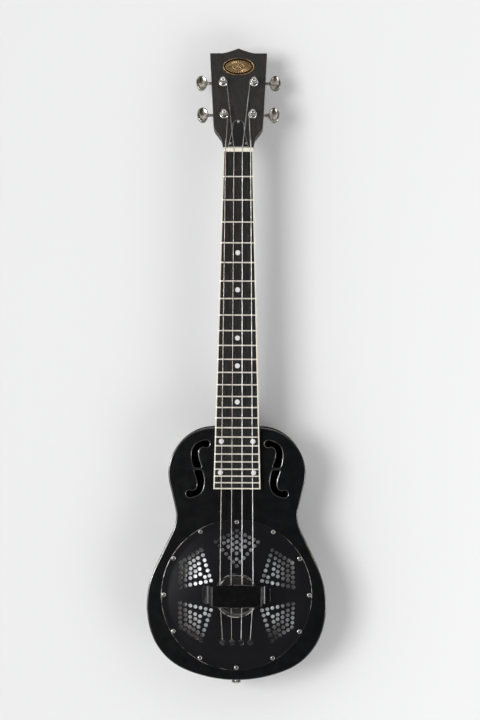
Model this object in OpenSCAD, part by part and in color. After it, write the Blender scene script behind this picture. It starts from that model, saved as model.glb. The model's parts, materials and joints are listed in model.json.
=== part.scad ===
// Four-string resonator guitar: a pressed steel body with a spun aluminium cone under a
// perforated coverplate, a bolt-on wooden neck with 24 frets and open-geared tuning machines.
// Millimetres.  The instrument lies on its back: the origin is on the back's flat face under
// the centre of the cone, +Y runs towards the head, +X to the treble side, +Z out of the top.

/* [Scale] */
// Sounding length that the frets are spaced for
scale_length = 508; // [500:1:515]
// Extra distance from the 0-fret line of the scale to the saddle
compensation = 3; // [2:0.5:4]
// Number of frets
fret_count = 24; // [18:1:24]

/* [Body] */
// Depth of the body from back to top
body_depth = 65; // [60:1:68]
// Thickness of the steel sheet
sheet_t = 1.2; // [0.8:0.1:1.4]
// Height of the lip that the top and the back fold over the sides
lip_h = 5; // [3:0.5:8]
// Radius of the tail's outline
tail_r = 151.2; // [140:0.2:160]
// Radius of the lower corners
corner_r = 71.2; // [66:0.2:74]
// Radius of the sides of the lower bout
side_r = 101.2; // [98:0.2:102]
// Radius of the waist
waist_r = 43.8; // [40:0.2:48]
// Radius of the shoulders
shoulder_r = 52.2; // [48:0.2:53]
// Radius of the top end's outline
top_end_r = 331.2; // [300:0.2:400]

/* [Coverplate] */
// Radius of the coverplate
cover_r = 87.2; // [86.5:0.1:88]
// Radius of the circle of the coverplate's screws
cover_screw_r = 84.1; // [83.5:0.1:84.5]
// Number of screws round the coverplate
cover_screws = 12; // [8:1:12]
// Rise of the coverplate's dome
dome_rise = 7; // [5:0.5:8]
// Radius of the opening over the bridge
opening_r = 21.4; // [21:0.1:22]
// Diameter of a perforation
hole_d = 4.3; // [3.6:0.1:4.5]

/* [Cone] */
// Outer radius of the resonator cone
cone_r = 76.5; // [74:0.5:77]
// Height of the ledge that the cone sits on
ledge_z = 46; // [44:0.5:48]
// Height of the cone's flat centre
cone_top_z = 62; // [60:0.5:62]

/* [Neck] */
// Width of the fingerboard at the nut
nut_w = 34.5; // [33:0.5:36]
// Width of the fingerboard at its body end
board_end_w = 54.2; // [52:0.5:56]
// Thickness of the fingerboard
board_t = 5; // [4:0.5:6]
// Height of the fingerboard's underside over the top
board_lift = 2.5; // [2:0.5:3]
// Thickness of the neck under the fingerboard at the nut
neck_t_nut = 13.5; // [12:0.5:15]
// Thickness of the neck under the fingerboard at the heel
neck_t_heel = 16.5; // [15:0.5:18]
// Depth of the heel under the fingerboard
heel_t = 55; // [50:1:58]

/* [Head] */
// Angle that the head leans back
head_angle = 14; // [12:1:15]
// Thickness of the head with its veneer
head_t = 15; // [14:0.5:16]
// Length of the head from the nut to its corners
head_len = 117.2; // [115:0.1:120]
// Half width of the head at its top corners
head_top_hw = 33.4; // [32:0.1:34]
// Rise of the point in the middle of the head's top edge
head_peak = 6.1; // [4:0.1:7]

/* [Strings] */
// Diameter of each string, bass side first
string_d = [0.92, 0.76, 0.9, 0.84]; // [0.4:0.02:0.94]
// Distance of each string from the centre line at the nut
nut_x = [-14.4, -4.8, 4.8, 14.4]; // [-14.6:0.1:14.6]
// Distance of each string from the centre line at the saddle
saddle_x = [-19.1, -6.3, 6.3, 19.1]; // [-19.2:0.1:19.2]
// Distance of each string from the centre line at its anchor
anchor_x = [-16.1, -5.4, 5.4, 16.1]; // [-16.5:0.1:16.5]
// Distance of the anchors from the saddle
anchor_y = 50.4; // [49:0.2:52]

/* [Tuning machines] */
// Teeth on each gear, turned by a single-start worm
gear_teeth = 14; // [14]
// Pitch radius of a gear
gear_r = 4.2; // [4.2]
// Mean radius of a worm
worm_r = 1.6; // [1.6]
// Height of a worm's thread above its mean radius
worm_ecc = 0.4; // [0.4]
// Radius of a string post
post_r = 3; // [3]
// Width of an oval button
button_w = 13.1; // [11:0.1:13.5]
// Length of an oval button
button_l = 18.5; // [17:0.1:19]
// Thickness of an oval button
button_t = 6.4; // [5:0.1:7]

/* [Hidden] */
$fn = 64;
eps = 0.02;

// Heights
board_z = body_depth + board_lift;
board_top = board_z + board_t;
fret_h = 1.0;
fret_w = 1.67;
nut_string_z = board_top + fret_h + 0.5;
saddle_string_z = 77.5;

// Places along the neck
nut_y = scale_length + compensation;
nut_t = 5;
head_y = nut_y + nut_t;
board_end_y = 122.5;
binding_t = 1.5;
heel_y = 206;
heel_curve = 34;
mortise_depth = 10;

// Outline of the body: centres of its arcs, each tangent to the next
side_c = [2.7, -12];
corner_a = -17.7;
corner_c = side_c + (side_r - corner_r) * dir(corner_a);
tail_c = [0, corner_c.y + sqrt(pow(tail_r - corner_r, 2) - pow(corner_c.x, 2))];
tail_a = atan2(corner_c.y - tail_c.y, corner_c.x - tail_c.x);
waist_c = [114.1, 90.7];
shoulder_c = [27.2, 140.7];
flank_a = between(side_c, waist_c) - acos((side_r + waist_r) / norm(waist_c - side_c));
upper_flank_a = between(waist_c, shoulder_c) - 180
    + acos((shoulder_r + waist_r) / norm(waist_c - shoulder_c));
top_c = [0, shoulder_c.y - sqrt(pow(top_end_r - shoulder_r, 2) - pow(shoulder_c.x, 2))];
top_a = between(top_c, shoulder_c);
top_y = top_c.y + top_end_r;
tail_y = tail_c.y - tail_r;

// Coverplate dome, a part of a sphere
dome_foot_r = 80;
dome_t = 1;
dome_top = body_depth + dome_t + dome_rise;
dome_r = (pow(dome_foot_r, 2) + pow(dome_rise, 2)) / (2 * dome_rise);
ring_r = 1.1;
well_r = 79;
well_t = 1;
hole_step = 5.52;
hole_rows = 5;
hole_tilt = 27.63;
kite_u = 74.2;
kite_tail = 6;
kite_in = [-4.57, -4.07];
groups = [90, 30, 150, -30, 210];
biscuit_r = 19.5;
biscuit_t = 6;
saddle_w = 3.2;
saddle_hw = 20.6;

// Neck stick inside the body
stick_hw = 9;
stick_z = [20, 42];

// Tuning machines: place of each post in the head's own frame, and of its button
post_x = [-16.5, -17.9, 17.9, 16.5];
post_y = [41.0, 80.8, 80.8, 41.0];
button_x = [-41.8, -43.3, 43.3, 41.8];
veneer_t = 1.5;
plate_t = 1;
worm_pitch = 2 * PI * gear_r / gear_teeth;
worm_turns = 4.5;
worm_l = worm_turns * worm_pitch;
worm_dy = gear_r + worm_r + 0.15;
worm_z = -head_t - plate_t - worm_r - worm_ecc - 0.4;
gear_t = 2.6;
gear_root = 3.75;
shaft_r = 1.5;
lug_x = worm_l / 2 + 0.2;
lug_t = 1;
run_gap = 0.05;
coil_z = 4.2;
coils = 3;

// ---- Points and curves ----

function dir(a) = [cos(a), sin(a)];
function between(p, q) = atan2(q.y - p.y, q.x - p.x);
function unit(v) = v / norm(v);
function arc(c, r, a0, a1, n) = [for (i = [0:n]) c + r * dir(a0 + (a1 - a0) * i / n)];
function bezier(p, n) = [for (i = [0:n]) let (t = i / n, s = 1 - t)
    s * s * s * p[0] + 3 * s * s * t * p[1] + 3 * s * t * t * p[2] + t * t * t * p[3]];
function flip(points) = [for (i = [len(points) - 1:-1:0]) [-points[i].x, points[i].y]];
function ellipse(a, b, n) = [for (i = [0:n - 1]) [a * cos(360 * i / n), b * sin(360 * i / n)]];
function lerp(a, b, t) = a + (b - a) * t;

// Half width of the fingerboard, with its binding, at a place along the neck
function board_hw(y) = lerp(nut_w, board_end_w, (nut_y - y) / (nut_y - board_end_y)) / 2;
function fret_y(n) = nut_y - scale_length * (1 - pow(2, -n / 12));
function dome_z(r) = dome_top - dome_r + sqrt(dome_r * dome_r - r * r);

// The right half of the body's outline from the tail to the top end, inset by a distance
function half_outline(inset) = concat(
    arc(tail_c, tail_r - inset, -90, tail_a, 10),
    arc(corner_c, corner_r - inset, tail_a, corner_a, 12),
    arc(side_c, side_r - inset, corner_a, flank_a, 12),
    arc(waist_c, waist_r + inset, flank_a + 180, upper_flank_a + 180, 10),
    arc(shoulder_c, shoulder_r - inset, upper_flank_a, top_a, 24),
    arc(top_c, top_end_r - inset, top_a, 90, 3));

module body_outline(inset) {
    half = half_outline(inset);
    polygon(concat([for (i = [0:len(half) - 2]) half[i]], flip(half)));
}

// A round bar between two points
module rod(p, q, d) {
    v = q - p;
    translate(p)
        rotate([0, acos(v.z / norm(v)), atan2(v.y, v.x)])
            cylinder(d = d, h = norm(v), $fn = 24);
}

// An open-topped notch for a string, from a bend of its axis towards another point of it
module notch(bend, end, width) {
    v = end - bend;
    translate(bend)
        rotate([0, 0, atan2(-v.x, v.y)])
            rotate([atan2(v.z, norm([v.x, v.y])), 0, 0])
                translate([-width / 2, -0.2, -width / 2])
                    cube([width, 5, 4]);
}

// The head's own frame: y along its face from the nut, z out of its face
module in_head() {
    translate([0, head_y, board_z + veneer_t])
        rotate([-head_angle, 0, 0])
            children();
}

// ---- Body ----

module f_hole_half() {
    outer = bezier([[4.6, 1.6], [9.1, 16.5], [8.6, 31], [-9.4, 32.8]], 16);
    inner = bezier([[-6.9, 26.3], [3.1, 24.5], [1.1, 14.5], [-4.4, 1.6]], 16);
    polygon(concat(outer, inner));
    translate([-9.5, 29]) circle(r = 3.9);
}

module f_holes() {
    for (side = [0, 1], turn = [0, 180])
        mirror([side, 0])
            translate([45.4, 145.4])
                rotate(turn)
                    f_hole_half();
}

module cover_screw_places(r = cover_screw_r) {
    for (i = [0:cover_screws - 1])
        rotate(i * 360 / cover_screws)
            translate([r, 0])
                children();
}

// A plate with a lip folded down over the sides
module lipped_plate() {
    linear_extrude(sheet_t) body_outline(0);
    linear_extrude(lip_h)
        difference() {
            body_outline(0);
            body_outline(sheet_t);
        }
}

module body_top() {
    color("#17181a")
        difference() {
            translate([0, 0, body_depth]) mirror([0, 0, 1]) lipped_plate();
            translate([0, 0, body_depth - 2 * sheet_t])
                linear_extrude(3 * sheet_t) {
                    circle(r = well_r, $fn = 180);
                    f_holes();
                    cover_screw_places() circle(d = 2.3, $fn = 24);
                }
        }
}

module body_back() {
    color("#17181a") lipped_plate();
}

module body_sides() {
    wall = sheet_t + run_gap;
    color("#1b1c1e")
        difference() {
            translate([0, 0, sheet_t])
                linear_extrude(body_depth - 2 * sheet_t)
                    difference() {
                        body_outline(wall);
                        body_outline(wall + sheet_t);
                    }
            translate([-stick_hw - 0.3, top_y - 20, stick_z[0] - 0.3])
                cube([2 * stick_hw + 0.6, 30, stick_z[1] - stick_z[0] + 0.6]);
            translate([0, tail_y - 5, body_depth / 2])
                rotate([-90, 0, 0])
                    cylinder(d = 4.2, h = 20);
        }
}

module soundwell() {
    top = body_depth - sheet_t;
    color("#8f9092")
        difference() {
            rotate_extrude($fn = 180)
                polygon([
                    [cone_r - 6.5, ledge_z - well_t], [well_r + well_t, ledge_z - well_t],
                    [well_r + well_t, top - well_t], [88, top - well_t], [88, top],
                    [well_r, top], [well_r, ledge_z], [cone_r - 6.5, ledge_z]]);
            translate([0, 0, top - 3])
                cover_screw_places() cylinder(d = 2.3, h = 5, $fn = 24);
        }
}

// ---- Cone and bridge ----

module resonator_cone() {
    t = 0.5;
    foot = cone_r - 4;
    rise = cone_top_z - ledge_z;
    flat_r = biscuit_r + 1.5;
    slope = [for (i = [0:8]) [lerp(foot, flat_r, i / 8), ledge_z + rise * sin(90 * i / 8) * 0.25
        + rise * 0.75 * i / 8]];
    color("#c9ccd0")
        difference() {
            rotate_extrude($fn = 180)
                polygon(concat(
                    [[cone_r, ledge_z]], slope, [[0, cone_top_z], [0, cone_top_z + t]],
                    [for (i = [8:-1:0]) slope[i] + [0, t]], [[cone_r, ledge_z + t]]));
            translate([0, 0, cone_top_z - 2]) cylinder(d = 3.1, h = 5);
        }
}

module biscuit() {
    z = cone_top_z + 0.5;
    color("#b98a55")
        difference() {
            translate([0, 0, z]) cylinder(r = biscuit_r, h = biscuit_t, $fn = 96);
            translate([-saddle_hw, -saddle_w / 2, z + 3]) cube([2 * saddle_hw, saddle_w, 9]);
            translate([0, 0, z - 1]) cylinder(d = 3.1, h = 9);
        }
}

module saddle() {
    z = cone_top_z + 3.5;
    top = saddle_string_z + 0.4;
    color("#3a2a20")
        difference() {
            translate([-saddle_hw, -saddle_w / 2, z]) cube([2 * saddle_hw, saddle_w, top - z]);
            translate([0, 0, z - 1]) cylinder(d = 3.1, h = 4);
            for (i = [0:3], end = [anchor_point(i), nut_point(i)])
                notch(saddle_point(i), end, string_d[i] + 0.1);
        }
}

module biscuit_screw() {
    color("#b9bbbe") {
        translate([0, 0, cone_top_z - 2]) cylinder(d = 7, h = 2, $fn = 32);
        translate([0, 0, cone_top_z - 2]) cylinder(d = 3, h = 8, $fn = 32);
    }
}

// ---- Coverplate ----

// The kite of perforations in one group, with u away from the centre and v across
module kite_holes() {
    module at_uv(u, v) translate([u, v]) circle(d = hole_d, $fn = 24);
    u_step = hole_step * sin(hole_tilt);
    v_step = hole_step * cos(hole_tilt);
    row_step = 6.46;
    for (row = [0:hole_rows], j = [0:(row == 0 ? hole_rows : max(0, hole_rows - 1 - row))],
            side = (j == 0 ? [1] : [-1, 1]))
        at_uv(kite_u - row_step * row - u_step * j, side * v_step * j);
    for (i = [1:kite_tail], side = (i == kite_tail ? [1] : [-1, 1]))
        at_uv(kite_u - u_step * hole_rows + kite_in.x * i,
            side * (v_step * hole_rows + kite_in.y * i));
}

module keyholes() {
    for (i = [0:3]) {
        translate([anchor_x[i], -anchor_y - 3.8]) circle(d = 6, $fn = 32);
        translate([anchor_x[i] - 0.8, -anchor_y - 3]) square([1.6, 3.8]);
    }
}

// A solid under the dome's outer face, or under its inner face with t = dome_t
module dome_solid(t, floor_z) {
    rotate_extrude($fn = 180)
        intersection() {
            translate([0, dome_top - dome_r]) circle(r = dome_r - t, $fn = 1440);
            translate([0, floor_z]) square([dome_foot_r + 0.4, 30]);
        }
}

module coverplate() {
    color("#232528")
        difference() {
            union() {
                difference() {
                    union() {
                        translate([0, 0, body_depth]) cylinder(r = cover_r, h = dome_t, $fn = 180);
                        dome_solid(0, body_depth);
                    }
                    dome_solid(dome_t, body_depth - 1);
                    translate([0, 0, body_depth - 1]) cylinder(r = opening_r + ring_r, h = 20, $fn = 96);
                }
                rotate_extrude($fn = 96)
                    translate([opening_r + ring_r, dome_z(opening_r) - dome_t / 2])
                        circle(r = ring_r, $fn = 32);
            }
            translate([0, 0, body_depth - 1])
                linear_extrude(20) {
                    cover_screw_places() circle(d = 2.5, $fn = 24);
                    for (a = groups)
                        rotate(a) kite_holes();
                    keyholes();
                }
        }
}

module coverplate_screws() {
    z = body_depth + dome_t;
    color("#c6c3ba")
        cover_screw_places() {
            difference() {
                translate([0, 0, z])
                    rotate_extrude($fn = 32)
                        polygon([[0, 0], [2.5, 0], [2.4, 0.5], [1.7, 1.05], [0, 1.3]]);
                for (turn = [0, 90])
                    rotate(turn) translate([-1.3, -0.3, z + 0.4]) cube([2.6, 0.6, 2]);
            }
            translate([0, 0, z - 5]) cylinder(d = 2.2, h = 5, $fn = 24);
        }
}

module handrest() {
    top = 90;
    t = 1.5;
    half = concat(
        [[0, top]],
        arc([27.1, top - 2.8], 2.8, 90, 10, 6),
        [[31.4, 74.6], [33.2, 73.4], [39, 72.9], [39, 68], [31.2, 68], [30, 73.2]],
        arc([27.1, top - 2.8], 2.8 - t, 10, 90, 4),
        [[0, top - t]]);
    plan = [[0, -13.4], [12, -13], [22, -12.4], [28.4, -11.4], [31, -10.4], [36.4, -10.4], [39, -7.8]];
    color("#101113")
        difference() {
            intersection() {
                translate([0, 20, 0])
                    rotate([90, 0, 0])
                        linear_extrude(40)
                            polygon(concat(half, flip(half)));
                translate([0, 1, 60])
                    linear_extrude(40)
                        polygon(concat(plan, flip([for (p = plan) [-p.x, -p.y]]),
                            [for (p = plan) [-p.x, -p.y]], flip(plan)));
            }
            dome_solid(-0.03, body_depth - 5);
        }
}

// ---- Neck ----

// Half of the head's outline, from the nut to the point of its top edge
function head_half() = concat(
    [[board_hw(head_y) + 0.3, 0]],
    bezier([[17.9, 3], [18.4, 13], [23.4, 17.5], [26.1, 21.5]], 10),
    bezier([[26.1, 21.5], [27.8, 24], [28.6, 26.5], [28.8, 31]], 6),
    [[head_top_hw, head_len - 1], [head_top_hw - 1, head_len]],
    [for (i = [0:10]) let (x = 19.5 * (1 - i / 10)) [x, head_len + head_peak * pow(1 - x / 19.5, 1.4)]]);

module head_outline() {
    half = head_half();
    polygon(concat([for (i = [0:len(half) - 2]) half[i]], flip(half)));
}

// Sections of the neck: [place along the neck, half width, depth under the fingerboard]
function neck_stations() = concat(
    [[top_y - 8, board_hw(top_y), heel_t]],
    [for (a = [90:-9:0]) let (y = heel_y + heel_curve * (1 - sin(a)))
        [y, board_hw(y), neck_t_heel + (heel_t - neck_t_heel) * (1 - cos(a))]],
    [for (y = [320, 420, head_y])
        [y, board_hw(y), lerp(neck_t_heel, neck_t_nut, (y - heel_y) / (head_y - heel_y))]]);

function neck_ring(s, n) = [for (i = [0:n]) let (a = 180 * i / n)
    [s[1] * cos(a), s[0], board_z - s[2] * pow(sin(a), 0.85)]];

// A closed skin over rings of equal length
module skin(rings) {
    n = len(rings[0]);
    last = len(rings) - 1;
    polyhedron(
        points = [for (ring = rings) each ring],
        faces = concat(
            [[for (i = [0:n - 1]) i]],
            [for (k = [0:last - 1], i = [0:n - 1], upper = [0, 1]) let (j = (i + 1) % n)
                upper ? [k * n + i, (k + 1) * n + j, k * n + j]
                : [k * n + i, (k + 1) * n + i, (k + 1) * n + j]],
            [[for (i = [n - 1:-1:0]) last * n + i]]));
}

module head_bores(d, from, to) {
    for (i = [0:3])
        translate([post_x[i], post_y[i], from]) cylinder(d = d, h = to - from);
}

// The space over the end of the neck that the nut stands in, in the head's frame, and a
// distance more below it
module nut_seat(below) {
    rotate([head_angle, 0, 0])
        translate([-40, -nut_t, -veneer_t - below])
            cube([80, nut_t, 20]);
}

module neck() {
    color("#1d1b1b")
        difference() {
            union() {
                skin([for (s = neck_stations()) neck_ring(s, 24)]);
                in_head() translate([0, 0, -head_t]) linear_extrude(head_t - veneer_t) head_outline();
                hull() {
                    skin([for (y = [500, 501]) neck_ring([y, board_hw(y), neck_t_nut + 0.2], 16)]);
                    in_head() translate([-18.4, 8, -head_t]) cube([36.8, 4, head_t - veneer_t - 1]);
                }
                translate([0, 0, body_depth])
                    linear_extrude(board_lift)
                        polygon([[-25, board_end_y + 2], [25, board_end_y + 2], [24, 215], [-24, 215]]);
            }
            translate([0, 0, -1]) linear_extrude(body_depth + 1) body_outline(-0.02);
            translate([-stick_hw - 0.05, top_y - 5, stick_z[0] - 0.05])
                cube([2 * stick_hw + 0.1, 5 + mortise_depth, stick_z[1] - stick_z[0] + 0.1]);
            translate([-3, 205, board_z - 8.5]) cube([6, head_y + 10 - 205, 12]);
            in_head() translate([-5, 1, -10]) cube([10, 15, 12]);
            in_head() head_bores(8.1, -head_t - 1, 1);
            in_head() nut_seat(0);
        }
}

module head_veneer() {
    color("#2b2a2a")
        in_head()
            difference() {
                translate([0, 0, -veneer_t]) linear_extrude(veneer_t) head_outline();
                translate([-5, 1, -3]) cube([10, 15, 5]);
                head_bores(8.1, -veneer_t - 1, 1);
                nut_seat(0.1);
            }
}

// The fingerboard's plan, narrower by an inset and short of its end by the same
module board_plan(inset) {
    y = board_end_y + inset;
    polygon([
        [-board_hw(y) + inset, y], [board_hw(y) - inset, y],
        [board_hw(nut_y) - inset, nut_y], [-board_hw(nut_y) + inset, nut_y]]);
}

// Fret spaces that hold one dot, and [fret space, half distance apart] of those that hold two
single_dots = [5, 7, 10, 12, 15];
double_dots = [[19, 18.2], [23, 19.2]];
dot_d = 5.7;
dot_t = 1.2;

module dot_places() {
    function mid(n) = (fret_y(n) + fret_y(n - 1)) / 2;
    for (n = single_dots)
        translate([0, mid(n), board_top - dot_t]) children();
    for (pair = double_dots, side = [-1, 1])
        translate([side * pair[1], mid(pair[0]), board_top - dot_t]) children();
}

module fingerboard() {
    color("#1f1c1b")
        difference() {
            translate([0, 0, board_z]) linear_extrude(board_t) board_plan(binding_t + 0.01);
            for (n = [1:fret_count])
                translate([-40, fret_y(n) - 0.3, board_top - 2]) cube([80, 0.6, 3]);
            dot_places() cylinder(d = dot_d, h = 3, $fn = 48);
        }
}

module fingerboard_binding() {
    end_hw = board_hw(board_end_y + binding_t) - binding_t - 0.02;
    color("#efe6cf")
        translate([0, 0, board_z])
            linear_extrude(board_t) {
                for (side = [0, 1])
                    mirror([side, 0])
                        polygon([
                            [board_hw(board_end_y), board_end_y], [board_hw(nut_y), nut_y],
                            [board_hw(nut_y) - binding_t, nut_y],
                            [board_hw(board_end_y) - binding_t, board_end_y]]);
                translate([-end_hw, board_end_y]) square([2 * end_hw, binding_t]);
            }
}

module frets() {
    color("#cfd0d2")
        for (n = [1:fret_count]) {
            y = fret_y(n);
            hw = board_hw(y) - 0.3;
            translate([-hw, y, board_top])
                rotate([90, 0, 90])
                    linear_extrude(2 * hw)
                        intersection() {
                            translate([0, 0.15]) circle(r = fret_h - 0.15, $fn = 32);
                            translate([-fret_w, 0]) square([2 * fret_w, 2]);
                        }
            translate([-hw + binding_t, y - 0.25, board_top - 1.8])
                cube([2 * (hw - binding_t), 0.5, 1.8 + eps]);
        }
}

module position_dots() {
    color("#f2efe8") dot_places() cylinder(d = dot_d, h = dot_t, $fn = 48);
}

module nut() {
    hw = board_hw(nut_y);
    color("#efe9d8")
        difference() {
            translate([-hw, nut_y, board_z])
                rotate([90, 0, 90])
                    linear_extrude(2 * hw)
                        polygon([[0, 0], [nut_t, 0], [nut_t, 6.2], [3.2, 7.35], [0, 7.35]]);
            for (i = [0:3], end = [saddle_point(i), post_point(i)])
                notch(nut_point(i), end, string_d[i] + 0.1);
        }
}

module truss_rod() {
    color("#9a9da0") rod([0, 206, board_z - 4.2], [0, head_y + 1, board_z - 4.2], 5);
}

module truss_rod_nut() {
    color("#b08d3f")
        translate([0, head_y + 1, board_z - 4.2])
            rotate([-90, 0, 0])
                difference() {
                    cylinder(d = 6.4, h = 9, $fn = 6);
                    translate([0, 0, 5]) cylinder(d = 3, h = 5, $fn = 6);
                }
}

// Screws of the truss rod cover in the head's frame
rod_cover_screws = [[0, 31.4], [-9.4, 4.6], [9.4, 4.6]];

module truss_rod_cover() {
    half = concat(
        [[12.1, 0.6]],
        bezier([[12.1, 1.2], [9.8, 10], [7.6, 18], [6.8, 24.6]], 8),
        arc([0, 27.3], 6.75, 4, 90, 10));
    color("#0a0a0b")
        in_head()
            difference() {
                linear_extrude(1.5) polygon(concat(half, flip(half)));
                for (p = rod_cover_screws)
                    translate([p.x, p.y, -1]) cylinder(d = 1.7, h = 4, $fn = 24);
            }
}

module truss_rod_cover_screws() {
    color("#c6c3ba")
        in_head()
            for (p = rod_cover_screws)
                translate([p.x, p.y, 0]) {
                    translate([0, 0, 1.5])
                        rotate_extrude($fn = 32)
                            polygon([[0, 0], [1.6, 0], [1.3, 0.45], [0, 0.7]]);
                    cylinder(d = 1.6, h = 1.5, $fn = 24);
                }
}

module head_badge() {
    a = 18.3;
    b = 10.7;
    color("#b08a3c")
        in_head()
            translate([0, 100.1, 0]) {
                linear_extrude(0.7) polygon(ellipse(a, b, 72));
                linear_extrude(1.4)
                    difference() {
                        polygon(ellipse(a, b, 72));
                        polygon(ellipse(a - 1.1, b - 1.1, 72));
                    }
                linear_extrude(1.2) polygon(ellipse(a - 3, b - 2.9, 72));
            }
}

// ---- Inside the body ----

module neck_stick() {
    color("#8a5f38")
        translate([-stick_hw, -82, stick_z[0]])
            cube([2 * stick_hw, top_y + mortise_depth + 82, stick_z[1] - stick_z[0]]);
}

module tail_block() {
    color("#8a5f38")
        difference() {
            translate([0, 0, sheet_t])
                linear_extrude(42)
                    intersection() {
                        body_outline(2 * sheet_t + run_gap);
                        translate([-22, -100]) square([44, 18]);
                    }
            translate([0, -83, body_depth / 2]) rotate([90, 0, 0]) cylinder(d = 3.4, h = 20);
        }
}

module stick_supports() {
    color("#8a5f38")
        for (y = [-50, 40])
            translate([-stick_hw, y, sheet_t])
                cube([2 * stick_hw, 20, stick_z[0] - sheet_t]);
}

module strap_button() {
    color("#c9cbce")
        translate([0, tail_y, body_depth / 2])
            rotate([90, 0, 0])
                difference() {
                    rotate_extrude($fn = 64)
                        polygon([[0, 0], [5, 0], [5, 1], [3.4, 2.4], [3.2, 4.3], [4.9, 5.9],
                            [5.6, 6.8], [5.4, 7.7], [4.4, 8.4], [0, 8.4]]);
                    translate([0, 0, -1]) cylinder(d = 3.5, h = 20);
                    translate([0, 0, 6.6]) cylinder(d = 7, h = 4);
                }
}

module strap_button_screw() {
    color("#b9bbbe")
        translate([0, tail_y - 6.6, body_depth / 2])
            rotate([90, 0, 0]) {
                difference() {
                    cylinder(d1 = 6.8, d2 = 5.6, h = 1.5, $fn = 48);
                    translate([-5, -0.4, 0.8]) cube([10, 0.8, 2]);
                }
                translate([0, 0, -20.4]) cylinder(d = 3.4, h = 20.4);
            }
}

// ---- Tuning machines, in the head's frame ----

module on_post(i) {
    in_head() translate([post_x[i], post_y[i], 0]) children();
}

module tuner_plates() {
    plate_hw = lug_x + lug_t;
    color("#8e8a80")
        for (i = [0:3])
            on_post(i)
                difference() {
                    union() {
                        translate([-plate_hw, -9, -head_t - plate_t]) cube([2 * plate_hw, 22.5, plate_t]);
                        for (x = [-lug_x - lug_t, lug_x]) {
                            translate([x, worm_dy - 2.6, worm_z]) cube([lug_t, 5.2, -head_t - worm_z - eps]);
                            translate([x, worm_dy, worm_z]) rotate([0, 90, 0]) cylinder(r = 2.6, h = lug_t);
                        }
                    }
                    translate([0, 0, -head_t - 3]) cylinder(r = post_r + run_gap, h = 5);
                    translate([-20, worm_dy, worm_z])
                        rotate([0, 90, 0])
                            cylinder(r = shaft_r + run_gap, h = 40, $fn = 48);
                    for (y = [-6.6, 11.2])
                        translate([0, y, -head_t - 3]) cylinder(d = 2.1, h = 5, $fn = 24);
                }
}

module tuner_plate_screws() {
    color("#a9a498")
        for (i = [0:3], y = [-6.6, 11.2])
            on_post(i)
                translate([0, y, -head_t - plate_t]) {
                    mirror([0, 0, 1])
                        rotate_extrude($fn = 32)
                            polygon([[0, 0], [2, 0], [1.6, 0.7], [0, 1]]);
                    cylinder(d = 2, h = plate_t, $fn = 24);
                }
}

module tuner_bushings() {
    color("#c3c0b8")
        for (i = [0:3])
            on_post(i)
                rotate_extrude($fn = 64)
                    polygon([
                        [post_r + run_gap, -8], [4, -8], [4, 0], [5.1, 0], [5.1, 0.8], [4.4, 1.4],
                        [post_r + run_gap, 1.4]]);
}

module tuner_post(i) {
    gear_z = worm_z + gear_t / 2;
    color("#d0cfca")
        on_post(i)
            difference() {
                rotate_extrude($fn = 64)
                    polygon([
                        [0, worm_z - gear_t / 2], [2, worm_z - gear_t / 2], [2, gear_z],
                        [post_r, gear_z], [post_r, 2.2], [post_r - 0.35, 3], [post_r - 0.35, 7.8],
                        [post_r, 8.8], [post_r, 10.4], [post_r - 0.8, 11.4], [0, 11.8]]);
                translate([-5, 0, 7.2 + 1.0]) rotate([0, 90, 0]) cylinder(d = 1.6, h = 10, $fn = 24);
                translate([0, 0, worm_z - gear_t / 2 - 1]) cylinder(d = 1.9, h = 4, $fn = 24);
            }
}

module tuner_gear(i) {
    tooth = [[0.55, gear_root - 0.2], [0.52, 4.0], [0.34, 4.3], [0.2, 4.5]];
    color("#b59a56")
        on_post(i)
            translate([0, 0, worm_z - gear_t / 2])
                difference() {
                    linear_extrude(gear_t) {
                        circle(r = gear_root, $fn = 56);
                        for (k = [0:gear_teeth - 1])
                            rotate(360 * k / gear_teeth)
                                polygon(concat(tooth, flip(tooth)));
                    }
                    translate([0, 0, -1]) cylinder(r = 2, h = gear_t + 2);
                }
}

module gear_screw(i) {
    z = worm_z - gear_t / 2;
    color("#a9a498")
        on_post(i)
            translate([0, 0, z]) {
                difference() {
                    mirror([0, 0, 1]) cylinder(d1 = 5.4, d2 = 4.6, h = 1.4, $fn = 48);
                    translate([-4, -0.35, -2]) cube([8, 0.7, 1.2]);
                }
                cylinder(d = 1.85, h = 2.8, $fn = 24);
            }
}

// Worm and shaft: the axis is along x, and the shaft runs out to the button
module tuner_worm(i) {
    side = sign(button_x[i]);
    reach = abs(button_x[i] - post_x[i]) - 1;
    color("#b8a878")
        on_post(i)
            translate([0, worm_dy, worm_z]) {
                translate([-worm_l / 2, 0, 0])
                    rotate([0, 90, 0])
                        linear_extrude(worm_l, twist = -360 * worm_turns, slices = 12 * worm_turns,
                                $fn = 14)
                            translate([worm_ecc, 0])
                                circle(r = worm_r);
                rotate([0, side * 90, 0]) {
                    translate([0, 0, worm_l / 2 - 0.4]) cylinder(r = shaft_r, h = reach - worm_l / 2 + 0.4);
                    translate([0, 0, -worm_l / 2 - 1.6]) cylinder(r = shaft_r, h = 2);
                }
            }
}

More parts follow.
